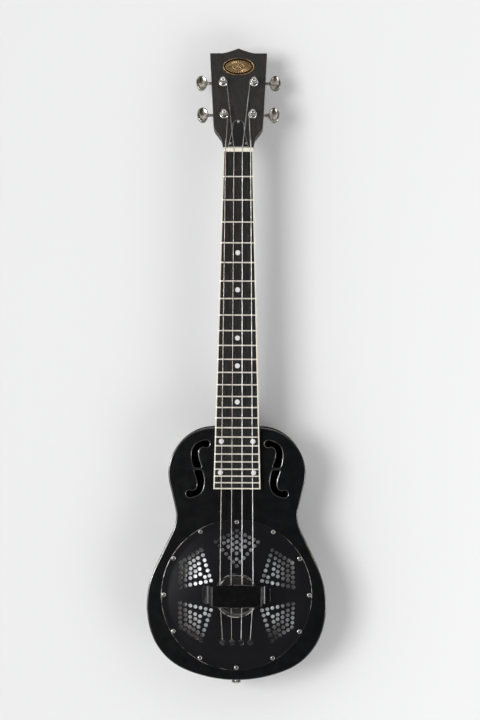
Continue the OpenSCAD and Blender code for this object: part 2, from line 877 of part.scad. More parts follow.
module tuner_button(i) {
    side = sign(button_x[i]);
    stem = button_w / 2 - 0.6;
    color("#9c968a")
        in_head()
            translate([button_x[i], post_y[i] + worm_dy, worm_z])
                difference() {
                    union() {
                        hull()
                            for (y = [-1, 1] * (button_l - button_w) / 2)
                                translate([0, y, 0])
                                    rotate_extrude($fn = 32)
                                        polygon([
                                            [0, -button_t / 2], [button_w * 0.3, -button_t * 0.44],
                                            [button_w * 0.46, -button_t * 0.22], [button_w / 2, 0],
                                            [button_w * 0.46, button_t * 0.22],
                                            [button_w * 0.3, button_t * 0.44], [0, button_t / 2]]);
                        rotate([0, -side * 90, 0]) cylinder(r = 2.6, h = stem + 2);
                    }
                    rotate([0, -side * 90, 0]) translate([0, 0, 1]) cylinder(r = shaft_r, h = stem + 8);
                }
}

module string_winding(i) {
    d = string_d[i];
    color("#c9c6bd")
        on_post(i)
            for (k = [0:coils - 1])
                translate([0, 0, coil_z + k * (d + 0.02)])
                    rotate_extrude($fn = 64)
                        translate([post_r - 0.35 + d / 2 + 0.02, 0])
                            circle(d = d, $fn = 24);
}

// ---- Strings ----

// Where each string's axis passes: its anchor slot, the saddle, the nut and its post
function anchor_point(i) = [anchor_x[i], -anchor_y, dome_z(norm([anchor_x[i], anchor_y])) + 1.2];
function saddle_point(i) = [saddle_x[i], 0, saddle_string_z + string_d[i] / 2];
function nut_point(i) = [nut_x[i], nut_y + 2.5, nut_string_z + string_d[i] / 2];
function from_head(p) = [
    p.x,
    head_y + p.y * cos(head_angle) + p.z * sin(head_angle),
    board_z + veneer_t - p.y * sin(head_angle) + p.z * cos(head_angle)];
function post_point(i) = from_head([
    post_x[i] - sign(post_x[i]) * (post_r - 0.35 + 1.5 * string_d[i] + 0.32), post_y[i] + 0.5, coil_z]);

function sweep_ring(p, t, r, n) = let (
    u = unit([1, 0, 0] - t * t.x),
    v = cross(t, u))
    [for (k = [0:n - 1]) p + r * (u * cos(360 * k / n) + v * sin(360 * k / n))];

function string_path(i) = let (a = anchor_point(i), s = saddle_point(i), w = unit(s - a))
    concat(
        [a - [0, 0, 2.4], a - [0, 0, 1.2]],
        [for (t = [0.25, 0.5, 0.75]) (1 - t) * (1 - t) * (a - [0, 0, 1.2])
            + 2 * t * (1 - t) * a + t * t * (a + 1.2 * w)],
        [a + 1.2 * w, s, nut_point(i), post_point(i)]);

module guitar_string(i) {
    path = string_path(i);
    last = len(path) - 1;
    tangents = [for (k = [0:last]) unit(
        k == 0 ? path[1] - path[0]
        : k == last ? path[last] - path[last - 1]
        : unit(path[k + 1] - path[k]) + unit(path[k] - path[k - 1]))];
    color(i < 2 ? "#b5a184" : "#d9d9d6")
        skin([for (k = [0:last]) sweep_ring(path[k], tangents[k], string_d[i] / 2, 10)]);
}

module string_ball_ends() {
    color("#b08d3f")
        for (i = [0:3])
            translate(anchor_point(i) - [2.2, 0, 4.4])
                rotate([0, 90, 0])
                    rotate_extrude($fn = 48)
                        polygon([[0.6, 0], [2, 0], [2, 1.2], [1.5, 1.7], [1.5, 2.7], [2, 3.2], [2, 4.4], [0.6, 4.4]]);
}

body_top();
body_sides();
body_back();
soundwell();
resonator_cone();
biscuit();
saddle();
biscuit_screw();
coverplate();
coverplate_screws();
handrest();
neck();
head_veneer();
fingerboard();
fingerboard_binding();
frets();
position_dots();
nut();
truss_rod();
truss_rod_nut();
truss_rod_cover();
truss_rod_cover_screws();
head_badge();
neck_stick();
tail_block();
stick_supports();
strap_button();
strap_button_screw();
tuner_plates();
tuner_plate_screws();
tuner_bushings();
string_ball_ends();
tuner_post(0);  // tuner_post_1
tuner_post(1);  // tuner_post_2
tuner_post(2);  // tuner_post_3
tuner_post(3);  // tuner_post_4
tuner_gear(0);  // tuner_gear_1
tuner_gear(1);  // tuner_gear_2
tuner_gear(2);  // tuner_gear_3
tuner_gear(3);  // tuner_gear_4
gear_screw(0);  // gear_screw_1
gear_screw(1);  // gear_screw_2
gear_screw(2);  // gear_screw_3
gear_screw(3);  // gear_screw_4
tuner_worm(0);  // tuner_worm_1
tuner_worm(1);  // tuner_worm_2
tuner_worm(2);  // tuner_worm_3
tuner_worm(3);  // tuner_worm_4
tuner_button(0);  // tuner_button_1
tuner_button(1);  // tuner_button_2
tuner_button(2);  // tuner_button_3
tuner_button(3);  // tuner_button_4
string_winding(0);  // string_winding_1
string_winding(1);  // string_winding_2
string_winding(2);  // string_winding_3
string_winding(3);  // string_winding_4
guitar_string(0);  // string_1
guitar_string(1);  // string_2
guitar_string(2);  // string_3
guitar_string(3);  // string_4
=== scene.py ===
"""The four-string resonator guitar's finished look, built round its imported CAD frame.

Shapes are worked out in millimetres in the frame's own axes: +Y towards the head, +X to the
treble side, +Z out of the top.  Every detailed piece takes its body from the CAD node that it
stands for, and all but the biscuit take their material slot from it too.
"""
import json
import math

import bmesh
import bpy
import numpy as np
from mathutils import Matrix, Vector
from mathutils.geometry import delaunay_2d_cdt

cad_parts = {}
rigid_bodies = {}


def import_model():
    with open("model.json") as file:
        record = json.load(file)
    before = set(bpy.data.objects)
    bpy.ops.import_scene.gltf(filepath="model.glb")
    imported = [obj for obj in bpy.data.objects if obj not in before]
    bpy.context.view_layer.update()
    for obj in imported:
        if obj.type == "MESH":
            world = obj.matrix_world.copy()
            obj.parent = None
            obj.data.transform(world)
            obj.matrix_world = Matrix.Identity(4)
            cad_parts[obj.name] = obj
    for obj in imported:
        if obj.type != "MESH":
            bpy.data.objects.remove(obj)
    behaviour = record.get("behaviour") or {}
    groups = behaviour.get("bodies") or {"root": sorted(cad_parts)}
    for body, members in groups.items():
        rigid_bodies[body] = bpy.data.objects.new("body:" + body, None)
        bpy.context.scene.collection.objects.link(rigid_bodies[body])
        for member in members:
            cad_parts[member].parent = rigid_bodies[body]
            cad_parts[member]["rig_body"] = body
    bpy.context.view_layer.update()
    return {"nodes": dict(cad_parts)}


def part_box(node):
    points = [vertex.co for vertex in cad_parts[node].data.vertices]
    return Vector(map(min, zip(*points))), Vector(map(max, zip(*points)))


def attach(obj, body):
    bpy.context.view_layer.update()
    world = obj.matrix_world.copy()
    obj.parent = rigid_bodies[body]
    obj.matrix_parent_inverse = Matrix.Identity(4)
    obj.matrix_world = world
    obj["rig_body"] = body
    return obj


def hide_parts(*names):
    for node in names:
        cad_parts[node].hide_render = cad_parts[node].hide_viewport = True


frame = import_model()

MM = 0.001
NODES = frame["nodes"]
SLOT_OF = {name: obj.data.materials[0].name for name, obj in NODES.items()}


def low(node):
    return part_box(node)[0] / MM


def high(node):
    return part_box(node)[1] / MM


# ---- Measures ----

TOP_Z = high("body_top").z
COVER_R = high("coverplate").x
BOARD_Z = low("fingerboard").z
BOARD_TOP = high("fingerboard").z
NUT_Y = low("nut").y
HEAD_Y = high("nut").y
NUT_HW = high("nut").x
BOARD_END_Y = low("fingerboard_binding").y
BOARD_END_HW = high("fingerboard_binding").x

SCALE_LENGTH = 508
FRETS = 24
SHEET, LIP = 1.2, 5
SIDE_GAP = 1.25  # the side band is this much inside the rims of the top and the back
SLIM = 0.02  # the finer outlines are this much inside the frame's

# Outline of the body: its arcs, each tangent to the next
TAIL_R, CORNER_R, SIDE_R, WAIST_R, SHOULDER_R, TOP_END_R = 151.2, 71.2, 101.2, 43.8, 52.2, 331.2
SIDE_C = np.array([2.7, -12.0])
WAIST_C = np.array([114.1, 90.7])
SHOULDER_C = np.array([27.2, 140.7])
CORNER_A = -17.7

# Coverplate, and the soundwell's opening under it
WELL_R = 79
DOME_FOOT_R, DOME_RISE, COVER_T = 80, 7, 1
DOME_TOP = TOP_Z + COVER_T + DOME_RISE
DOME_R = (DOME_FOOT_R**2 + DOME_RISE**2) / (2 * DOME_RISE)
OPENING_R, ROLL_R = 21.4, 1.1
HOLE_R, HOLE_ROWS, HOLE_STEP, HOLE_TILT = 2.15, 5, 5.52, 27.63
GROUPS = (90, 30, 150, -30, 210)
KEYHOLE_Y, KEYHOLE_R, SLOT_HW, SLOT_TOP = -54.2, 3, 0.8, -49.6

# Head: its own frame has y along the face from the nut and z out of the face
HEAD_ANGLE = math.radians(14)
VENEER_T, HEAD_T = 1.5, 15
HEAD_LEN, HEAD_TOP_HW, HEAD_PEAK = 117.2, 33.4, 6.1
BORE_R = 4.05
ROD_COVER_T = 1.5

# Neck: its volute runs from one y to another, in the head's frame
HEEL_Y, HEEL_CURVE, HEEL_T = 206, 34, 55
NECK_T_HEEL, NECK_T_NUT = 16.5, 13.5
VOLUTE_START, VOLUTE_Y = -19, 15
VOLUTE_SWELL = 1.3

# Tuning machines and strings, bass side first
POST_X = (-16.5, -17.9, 17.9, 16.5)
POST_Y = (41.0, 80.8, 80.8, 41.0)
BUTTON_X = (-41.8, -43.3, 43.3, 41.8)
BUTTON_SIZE = Vector((13.1, 18.5, 6.4))
WORM_DY, WORM_Z = 5.95, -18.4
POST_NECK_R = 2.65
COIL_Z, POST_HOLE_Z = 4.2, 8.2
STRING_D = (0.92, 0.76, 0.9, 0.84)
TAIL_WIRE_R = 0.36  # the clipped ends in the posts' holes
NUT_X = (-14.4, -4.8, 4.8, 14.4)
SADDLE_X = (-19.1, -6.3, 6.3, 19.1)
ANCHOR_X = (-16.1, -5.4, 5.4, 16.1)
ANCHOR_Y = -50.4
NUT_STRING_Z = BOARD_TOP + 1.5
SADDLE_STRING_Z = 77.5


# ---- Points and curves ----


def lerp(a, b, t):
    return a + (b - a) * t


def smooth(t):
    """0 to 1 with level ends."""
    return t * t * (3 - 2 * t)


def clamp(t):
    return min(1, max(0, t))


def direction(degrees):
    a = math.radians(degrees)
    return np.array([math.cos(a), math.sin(a)])


def between(p, q):
    return math.degrees(math.atan2(q[1] - p[1], q[0] - p[0]))


def arc(centre, radius, start, end, steps):
    return [
        tuple(np.array(centre) + radius * direction(lerp(start, end, i / steps)))
        for i in range(steps + 1)
    ]


def bezier(points, steps):
    a, b, c, d = (np.array(p, float) for p in points)
    return [
        tuple((1 - t) ** 3 * a + 3 * (1 - t) ** 2 * t * b + 3 * (1 - t) * t * t * c + t**3 * d)
        for t in (i / steps for i in range(steps + 1))
    ]


def circle(centre, radius, sides):
    return arc(centre, radius, 0, 360, sides)[:-1]


def clockwise(loop):
    """A counterclockwise loop the other way round, as a hole."""
    return list(reversed(loop))


def mirrored(points):
    """A half outline, from bottom to top on the right side, and its mirror image."""
    return list(points) + [(-x, y) for x, y in reversed(points) if x > 1e-4]


def unique(points, nearest=0.02):
    """A closed loop without its doubled points."""
    kept = []
    for p in points:
        if not kept or math.dist(p, kept[-1]) > nearest:
            kept.append(p)
    if math.dist(kept[0], kept[-1]) < nearest:
        kept.pop()
    return kept


def body_outline(inset, fine=3):
    """The body's outline, counterclockwise from the tail, inset by a distance."""
    corner_c = SIDE_C + (SIDE_R - CORNER_R) * direction(CORNER_A)
    tail_c = np.array([0, corner_c[1] + math.sqrt((TAIL_R - CORNER_R) ** 2 - corner_c[0] ** 2)])
    tail_a = between(tail_c, corner_c)
    flank_a = between(SIDE_C, WAIST_C) - math.degrees(
        math.acos((SIDE_R + WAIST_R) / np.linalg.norm(WAIST_C - SIDE_C))
    )
    upper_a = between(WAIST_C, SHOULDER_C) - 180 + math.degrees(
        math.acos((SHOULDER_R + WAIST_R) / np.linalg.norm(WAIST_C - SHOULDER_C))
    )
    top_c = np.array(
        [0, SHOULDER_C[1] - math.sqrt((TOP_END_R - SHOULDER_R) ** 2 - SHOULDER_C[0] ** 2)]
    )
    top_a = between(top_c, SHOULDER_C)
    half = (
        arc(tail_c, TAIL_R - inset, -90, tail_a, 10 * fine)
        + arc(corner_c, CORNER_R - inset, tail_a, CORNER_A, 12 * fine)
        + arc(SIDE_C, SIDE_R - inset, CORNER_A, flank_a, 12 * fine)
        + arc(WAIST_C, WAIST_R + inset, flank_a + 180, upper_a + 180, 10 * fine)
        + arc(SHOULDER_C, SHOULDER_R - inset, upper_a, top_a, 16 * fine)
        + arc(top_c, TOP_END_R - inset, top_a, 90, 6 * fine)
    )
    return unique(mirrored(half))


def f_hole(upper):
    """One half of the treble side's f-hole: a tapering slit with a round end."""
    outer = bezier([(4.6, 1.6), (9.1, 16.5), (8.6, 31), (-9.4, 32.8)], 26)
    round_end = arc((-9.5, 29), 3.9, 90, 314, 26)
    inner = bezier([(-6.9, 26.3), (3.1, 24.5), (1.1, 14.5), (-4.4, 1.6)], 26)
    bottom = [tuple(lerp(np.array(inner[-1]), np.array(outer[0]), i / 10)) for i in range(1, 10)]
    loop = np.array(unique(outer + round_end + inner + bottom))
    for _ in range(3):  # ease the corners
        loop = 0.5 * loop + 0.25 * (np.roll(loop, 1, 0) + np.roll(loop, -1, 0))
    turn = 1 if upper else -1
    return [(45.4 + turn * x, 145.4 + turn * y) for x, y in loop]


def dome_z(r):
    """Height of the coverplate's outer face, with its foot eased into the flat flange."""
    dome = DOME_TOP - DOME_R + math.sqrt(max(0, DOME_R**2 - r * r))
    flange = TOP_Z + COVER_T
    ease = 0.35
    return 0.5 * (dome + flange + math.sqrt((dome - flange) ** 2 + ease**2)) - ease / 2


def board_hw(y):
    return lerp(NUT_HW, BOARD_END_HW, (NUT_Y - y) / (NUT_Y - BOARD_END_Y))


def fret_y(n):
    return NUT_Y - SCALE_LENGTH * (1 - 2 ** (-n / 12))


def in_head(p):
    """A point of the head's own frame, in the instrument's."""
    x, y, z = p
    c, s = math.cos(HEAD_ANGLE), math.sin(HEAD_ANGLE)
    return (x, HEAD_Y + y * c + z * s, BOARD_Z + VENEER_T - y * s + z * c)


# ---- Finishes ----


class Finish:
    """A procedural material: the Principled shader, with textures in object coordinates."""

    def __init__(self, slot, **constants):
        self.slot = slot
        self.material = bpy.data.materials.new(slot)
        self.material.use_nodes = True
        self.tree = self.material.node_tree
        self.shader = self.tree.nodes["Principled BSDF"]
        self.place = self.node("TexCoord").outputs["Object"]
        self.normal = None
        for name, value in constants.items():
            self.shader.inputs[name.replace("_", " ")].default_value = value

    def feed(self, socket, value):
        if isinstance(value, bpy.types.NodeSocket):
            self.tree.links.new(value, socket)
        elif isinstance(value, tuple) and len(socket.default_value) == 4:
            socket.default_value = (*value, 1)
        else:
            socket.default_value = value

    def node(self, kind, inputs=None, **settings):
        node = self.tree.nodes.new("ShaderNode" + kind)
        for name, value in settings.items():
            setattr(node, name, value)
        for name, value in (inputs or {}).items():
            self.feed(node.inputs[name], value)
        return node

    def stretched(self, scale):
        return self.node("Mapping", {"Vector": self.place, "Scale": scale}).outputs["Vector"]

    def noise(self, scale, detail=3.0, stretch=None, warp=0.0):
        vector = self.place if stretch is None else self.stretched(stretch)
        inputs = {"Vector": vector, "Scale": scale, "Detail": detail, "Distortion": warp}
        return self.node("TexNoise", inputs).outputs["Fac"]

    def rings(self, scale):
        """Noise that is the same all round the cone's axis: tool marks of spinning."""
        flat = self.stretched((1, 1, 0))
        radius = self.node("VectorMath", {0: flat}, operation="LENGTH").outputs["Value"]
        inputs = {"W": radius, "Scale": scale, "Detail": 3.0}
        return self.node("TexNoise", inputs, noise_dimensions="1D").outputs["Fac"]

    def ramp(self, value, start, end, to=(0.0, 1.0)):
        limits = zip(("From Min", "From Max", "To Min", "To Max"), (start, end, *to))
        return self.node("MapRange", {"Value": value, **dict(limits)}).outputs["Result"]

    def mix(self, factor, a, b):
        return self.node("Mix", {0: factor, 6: a, 7: b}, data_type="RGBA").outputs[2]

    def times(self, a, b):
        return self.node("Math", {0: a, 1: b}, operation="MULTIPLY").outputs["Value"]

    def mark(self, name):
        """A value that the mesh code paints on its points."""
        return self.node("Attribute", attribute_name=name).outputs["Fac"]

    def colour(self, value):
        self.feed(self.shader.inputs["Base Color"], value)

    def rough(self, value):
        self.feed(self.shader.inputs["Roughness"], value)

    def bump(self, height, depth):
        """depth is the relief in metres."""
        inputs = {"Height": height, "Distance": depth}
        if self.normal is not None:
            inputs["Normal"] = self.normal
        self.normal = self.node("Bump", inputs).outputs["Normal"]
        self.feed(self.shader.inputs["Normal"], self.normal)


def enamel(slot, dark, light, rough, peel, rub, metal_tone, **constants):
    """Stoved paint on steel: orange peel, faint clouds, and bare metal at rubbed edges.

    rub is the height of the noise below which an edge is rubbed through."""
    m = Finish(slot, **constants)
    cloud = m.noise(28, 4)
    rubbed = m.ramp(m.noise(11, 1), rub + 0.05, rub - 0.05)
    patches = m.times(rubbed, m.ramp(m.noise(150, 6), 0.6, 0.4))
    worn = m.times(m.mark("edge"), patches)
    m.colour(m.mix(worn, m.mix(m.ramp(cloud, 0.3, 0.7), dark, light), metal_tone))
    m.feed(m.shader.inputs["Metallic"], worn)
    m.rough(m.ramp(m.noise(90, 5), 0.3, 0.7, to=(rough - 0.03, rough + 0.03)))
    m.bump(m.noise(1100, 2), peel)
    m.bump(m.ramp(m.noise(2600, 2), 0.66, 0.80), 0.000012)
    return m


def stained_wood(slot, dark, light, warm, rough, pore_depth, stretch=(1, 0.045, 1)):
    """Wood with its grain along y: broad figure, fine fibres and short open pores."""
    m = Finish(slot, Specular_IOR_Level=0.24)
    fibre = m.noise(900, 6, stretch=stretch, warp=0.3)
    figure = m.noise(150, 4, stretch=stretch, warp=1.2)
    pores = m.ramp(m.noise(1500, 2, stretch=(1, 0.11, 1)), 0.60, 0.72)
    tone = m.mix(m.ramp(fibre, 0.36, 0.66), dark, light)
    tone = m.mix(m.ramp(figure, 0.52, 0.78), tone, warm)
    m.colour(m.mix(m.times(pores, 0.75), tone, tuple(0.4 * c for c in dark)))
    m.rough(m.ramp(fibre, 0.3, 0.7, to=(rough - 0.07, rough + 0.08)))
    m.bump(fibre, 0.00006)
    m.bump(m.ramp(pores, 1.0, 0.0), pore_depth)
    return m


def metal(slot, bright, dull, rough, grain=700, spread=(0.40, 0.64), **constants):
    """Plated or bare metal with soft tarnish, finger haze and fine scratches."""
    m = Finish(slot, Metallic=1.0, **constants)
    haze = m.noise(grain * 0.35, 5, warp=0.5)
    tarnish = m.ramp(haze, *spread)
    tarnish = m.node("Math", {0: tarnish, 1: m.mark("recess")}, operation="MAXIMUM").outputs[0]
    m.colour(m.mix(tarnish, bright, dull))
    m.rough(m.ramp(m.noise(grain, 4), 0.3, 0.7, to=(rough, rough + 0.14)))
    m.bump(m.noise(grain * 2.5, 3, stretch=(1, 0.2, 1)), 0.000012)
    return m


def spun_aluminium(slot):
    m = Finish(slot, Metallic=1.0)
    marks = m.rings(2600)
    m.colour(m.mix(m.ramp(m.noise(60, 4), 0.35, 0.7), (0.86, 0.87, 0.88), (0.66, 0.67, 0.69)))
    m.rough(m.ramp(marks, 0.3, 0.7, to=(0.42, 0.60)))
    m.bump(marks, 0.00005)
    return m


def wound_string(slot, bright, dark, pitch):
    """Round wire wrapped on a core: fine rings across the string."""
    m = Finish(slot, Metallic=1.0)
    waves = {"Vector": m.place, "Scale": 0.314 / pitch, "Distortion": 0.0}
    wrap = m.node("TexWave", waves, bands_direction="Y", wave_profile="SIN").outputs["Fac"]
    m.colour(m.mix(m.ramp(m.noise(220, 4), 0.35, 0.65), bright, dark))
    m.rough(m.ramp(m.noise(500, 3), 0.3, 0.7, to=(0.34, 0.48)))
    m.bump(wrap, 0.00002)
    return m


def ivoroid(slot):
    m = Finish(slot, Coat_Weight=0.25, Coat_Roughness=0.2, Subsurface_Weight=0.08)
    m.shader.inputs["Subsurface Radius"].default_value = (0.0012, 0.0009, 0.0006)
    grain = m.noise(700, 4, stretch=(1, 0.05, 1), warp=0.4)
    m.colour(m.mix(m.ramp(grain, 0.35, 0.7), (0.88, 0.84, 0.74), (0.76, 0.70, 0.57)))
    m.rough(m.ramp(m.noise(300, 4), 0.3, 0.7, to=(0.30, 0.44)))
    m.bump(grain, 0.00002)
    return m


def pearl(slot):
    m = Finish(slot, Coat_Weight=0.7, Coat_Roughness=0.06, Specular_IOR_Level=0.7)
    cells = m.node("TexVoronoi", {"Vector": m.place, "Scale": 620.0, "Randomness": 1.0})
    swirl = m.noise(900, 4, warp=2.5)
    tone = m.mix(m.ramp(swirl, 0.35, 0.65), (0.90, 0.90, 0.87), (0.62, 0.68, 0.72))
    m.colour(m.mix(m.ramp(cells.outputs["Distance"], 0.2, 0.9), tone, (0.84, 0.78, 0.80)))
    m.rough(m.ramp(swirl, 0.3, 0.7, to=(0.12, 0.26)))
    m.bump(swirl, 0.00001)
    return m


def black_plastic(slot):
    """Polished black plastic with hairline scratches, and a grey ply at its bevel."""
    m = Finish(slot, Specular_IOR_Level=0.3, Coat_Weight=0.25, Coat_Roughness=0.05)
    hair = m.noise(1800, 3, stretch=(1, 0.06, 1), warp=0.2)
    cloud, grain = m.ramp(m.noise(80, 3), 0.35, 0.65), m.ramp(m.noise(600, 3), 0.35, 0.65)
    black = m.mix(cloud, (0.0015, 0.0015, 0.002), (0.003, 0.003, 0.0035))
    grey = m.mix(grain, (0.30, 0.30, 0.31), (0.40, 0.40, 0.41))
    m.colour(m.mix(m.mark("edge"), black, grey))
    m.rough(m.ramp(hair, 0.5, 0.8, to=(0.09, 0.24)))
    m.bump(hair, 0.000004)
    return m


FINISHES = {
    f.slot: f.material
    for f in (
        enamel("body_paint", (0.0026, 0.0028, 0.0033), (0.0031, 0.0034, 0.0039), 0.22, 0.000010,
               0.50, (0.28, 0.20, 0.15), Coat_Weight=0.4, Coat_Roughness=0.05),
        enamel("cover_paint", (0.0072, 0.0072, 0.0088), (0.0088, 0.0088, 0.0106), 0.30, 0.000010,
               0.50, (0.62, 0.56, 0.50), Specular_IOR_Level=0.08, Coat_Weight=0.3,
               Coat_Roughness=0.06),
        enamel("handrest_paint", (0.0014, 0.0015, 0.0018), (0.0019, 0.0020, 0.0023), 0.26, 0.000008,
               0.50, (0.40, 0.36, 0.32), Specular_IOR_Level=0.3, Coat_Weight=0.15,
               Coat_Roughness=0.10),
        metal("bare_steel", (0.40, 0.40, 0.41), (0.20, 0.18, 0.16), 0.34, grain=500),
        spun_aluminium("cone_aluminium"),
        metal("nickel", (0.70, 0.68, 0.645), (0.27, 0.25, 0.22), 0.17, spread=(0.42, 0.66)),
        metal("aged_nickel", (0.50, 0.47, 0.415), (0.115, 0.10, 0.08), 0.22, grain=600),
        metal("brass", (0.62, 0.48, 0.26), (0.26, 0.18, 0.09), 0.26),
        metal("badge_brass", (0.50, 0.33, 0.16), (0.024, 0.016, 0.010), 0.36, spread=(0.46, 0.74)),
        stained_wood("neck_wood", (0.008, 0.0072, 0.007), (0.014, 0.012, 0.011),
                     (0.024, 0.015, 0.011), 0.40, 0.00008),
        stained_wood("head_wood", (0.013, 0.0122, 0.0122), (0.022, 0.0204, 0.0198),
                     (0.038, 0.023, 0.0175), 0.50, 0.00010),
        stained_wood("board_wood", (0.0032, 0.003, 0.0029), (0.0075, 0.0068, 0.0064),
                     (0.013, 0.010, 0.008), 0.44, 0.00010),
        stained_wood("inner_wood", (0.20, 0.115, 0.055), (0.33, 0.20, 0.105), (0.26, 0.13, 0.06),
                     0.55, 0.00010),
        stained_wood("saddle_wood", (0.045, 0.025, 0.014), (0.09, 0.052, 0.03),
                     (0.05, 0.028, 0.018), 0.4, 0.00006),
        ivoroid("ivoroid"),
        pearl("pearl"),
        black_plastic("black_gloss"),
        metal("fret_wire", (0.95, 0.90, 0.80), (0.84, 0.78, 0.67), 0.36, grain=900),
        wound_string("string_wound", (0.27, 0.24, 0.22), (0.17, 0.15, 0.135), 0.00016),
        metal("string_plain", (0.42, 0.42, 0.415), (0.25, 0.245, 0.24), 0.34, grain=300),
    )
}


def dark_maple():
    """The biscuit's maple, coloured near black."""
    wood = stained_wood("biscuit_near_black", (0.008, 0.007, 0.006), (0.016, 0.012, 0.010),
                        (0.024, 0.015, 0.010), 0.5, 0.00006)
    return wood.material


for name, obj in NODES.items():
    obj.material_slots[0].material = FINISHES[SLOT_OF[name]]


# ---- Meshes ----


def build(verts, faces, edge=None):
    """A mesh in metres from points in millimetres, with its faces turned outwards."""
    mesh = bpy.data.meshes.new("piece")
    mesh.from_pydata([Vector(v) * MM for v in verts], [], faces)
    if edge is not None:
        mesh.attributes.new("edge", "FLOAT", "POINT").data.foreach_set("value", edge)
    bm = bmesh.new()
    bm.from_mesh(mesh)
    bmesh.ops.recalc_face_normals(bm, faces=bm.faces)
    bm.to_mesh(mesh)
    bm.free()
    return mesh


def show(name, mesh, nodes, crease=35):
    """Puts a mesh in the scene for the CAD nodes that it replaces."""
    mesh.name = name
    mesh.polygons.foreach_set("use_smooth", [True] * len(mesh.polygons))
    mesh.set_sharp_from_angle(angle=math.radians(crease))
    slot = SLOT_OF[nodes[0]]
    if not mesh.materials:
        mesh.materials.append(FINISHES[slot])
    obj = bpy.data.objects.new(name, mesh)
    bpy.context.scene.collection.objects.link(obj)
    even = obj.modifiers.new("even normals", "WEIGHTED_NORMAL")
    even.keep_sharp = True
    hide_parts(*nodes)
    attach(obj, NODES[nodes[0]]["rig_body"])
    return obj


def boolean(mesh, other, operation):
    """mesh joined with another closed mesh, or cut by it."""
    pair = [bpy.data.objects.new("boolean", m) for m in (mesh, other)]
    for obj in pair:
        bpy.context.scene.collection.objects.link(obj)
    step = pair[0].modifiers.new("boolean", "BOOLEAN")
    step.operation, step.object, step.solver = operation, pair[1], "MANIFOLD"
    bpy.context.view_layer.update()
    result = bpy.data.meshes.new_from_object(
        pair[0].evaluated_get(bpy.context.evaluated_depsgraph_get())
    )
    for obj in pair:
        bpy.data.objects.remove(obj)
    result.materials.clear()
    return result


def inside(p, loop):
    """Whether a point is inside a closed loop."""
    odd = False
    for a, b in zip(loop, loop[1:] + loop[:1]):
        if (a[1] > p[1]) != (b[1] > p[1]):
            odd ^= p[0] < a[0] + (b[0] - a[0]) * (p[1] - a[1]) / (b[1] - a[1])
    return odd


def offset(loop, distance):
    """A closed loop moved to the left of its direction of travel."""
    p = np.array(loop, float)
    before, after = p - np.roll(p, 1, 0), np.roll(p, -1, 0) - p
    before /= np.linalg.norm(before, axis=1)[:, None]
    after /= np.linalg.norm(after, axis=1)[:, None]
    left = lambda d: np.stack([-d[:, 1], d[:, 0]], 1)
    mean = left(before) + left(after)
    mean /= np.linalg.norm(mean, axis=1)[:, None]
    reach = 1 / np.maximum(0.6, (mean * left(after)).sum(1))
    return p + distance * mean * reach[:, None]


MARKED_FROM, MARKED_TO = 0.15, 0.35  # of a profile's points


def plate(loops, height, spread=(), place=None):
    """A sheet between closed loops, with the sheet on each loop's left.

    The first loop is the outline and the rest are holes.  loops pairs each loop with the
    profile of its edge: (inset, drop) steps from the upper face to the lower one.  height
    gives the upper face's z, and spread has more points of the faces.  The early part of
    each profile is marked as edge, where paint is rubbed and plastic shows its ply."""
    verts, edge, faces, rings = [], [], [], []
    for loop, profile in loops:
        first = offset(loop, profile[0][0])
        tops = [height(x, y) for x, y in first]
        for k, (inset, drop) in enumerate(profile):
            rings.append((len(verts), len(loop), k, len(profile)))
            moved = offset(loop, inset)
            verts += [(x, y, z - drop) for (x, y), z in zip(moved, tops)]
            edge += [float(MARKED_FROM < k / len(profile) < MARKED_TO)] * len(loop)
    for start, count, k, steps in rings:
        if k + 1 < steps:
            for i in range(count):
                j = (i + 1) % count
                faces.append((start + i, start + j, start + count + j, start + count + i))
    thickness = loops[0][1][-1][1]
    for lower in (False, True):
        flat, index, links, owner, outlines = [], [], [], [], []
        for start, count, k, steps in rings:
            if k == (steps - 1 if lower else 0):
                base = len(flat)
                owner += [len(outlines)] * count
                outlines.append([verts[start + i][:2] for i in range(count)])
                flat += [Vector(p) for p in outlines[-1]]
                index += range(start, start + count)
                links += [(base + i, base + (i + 1) % count) for i in range(count)]
        for x, y in spread:
            index.append(len(verts))
            owner.append(-1)
            flat.append(Vector((x, y)))
            verts.append((x, y, height(x, y) - (thickness if lower else 0)))
            edge.append(0.0)
        out = delaunay_2d_cdt(flat, links, [], 1, 1e-6)
        for face in out[2]:
            corners = [out[3][v][0] for v in face]
            owners = {owner[v] for v in corners}
            ring = owners.pop()
            if not owners and ring >= 0:  # it may be outside the outline, or in a hole
                middle = sum((flat[v] for v in corners), Vector((0, 0))) / 3
                if inside(middle, outlines[ring]) != (ring == 0):
                    continue
            faces.append(tuple(index[v] for v in corners))
    if place:
        verts = [place(v) for v in verts]
    return build(verts, faces, edge)


def loft(rings, closed=False):
    """A skin over rings with equal numbers of points, with flat ends unless it is closed."""
    n, count = len(rings[0]), len(rings)
    verts = [tuple(p) for ring in rings for p in ring]
    faces = []
    for k in range(count if closed else count - 1):
        for i in range(n):
            a, b = k * n, (k + 1) % count * n
            j = (i + 1) % n
            faces.append((a + i, a + j, b + j, b + i))
    if not closed:
        faces += [tuple(range(n)), tuple(range((count - 1) * n, count * n))]
    return verts, faces


def box_mesh(a, b):
    """A closed box between two corners."""
    ring = [(a[0], a[1]), (b[0], a[1]), (b[0], b[1]), (a[0], b[1])]
    return build(*loft([[(x, y, z) for x, y in ring] for z in (a[2], b[2])]))


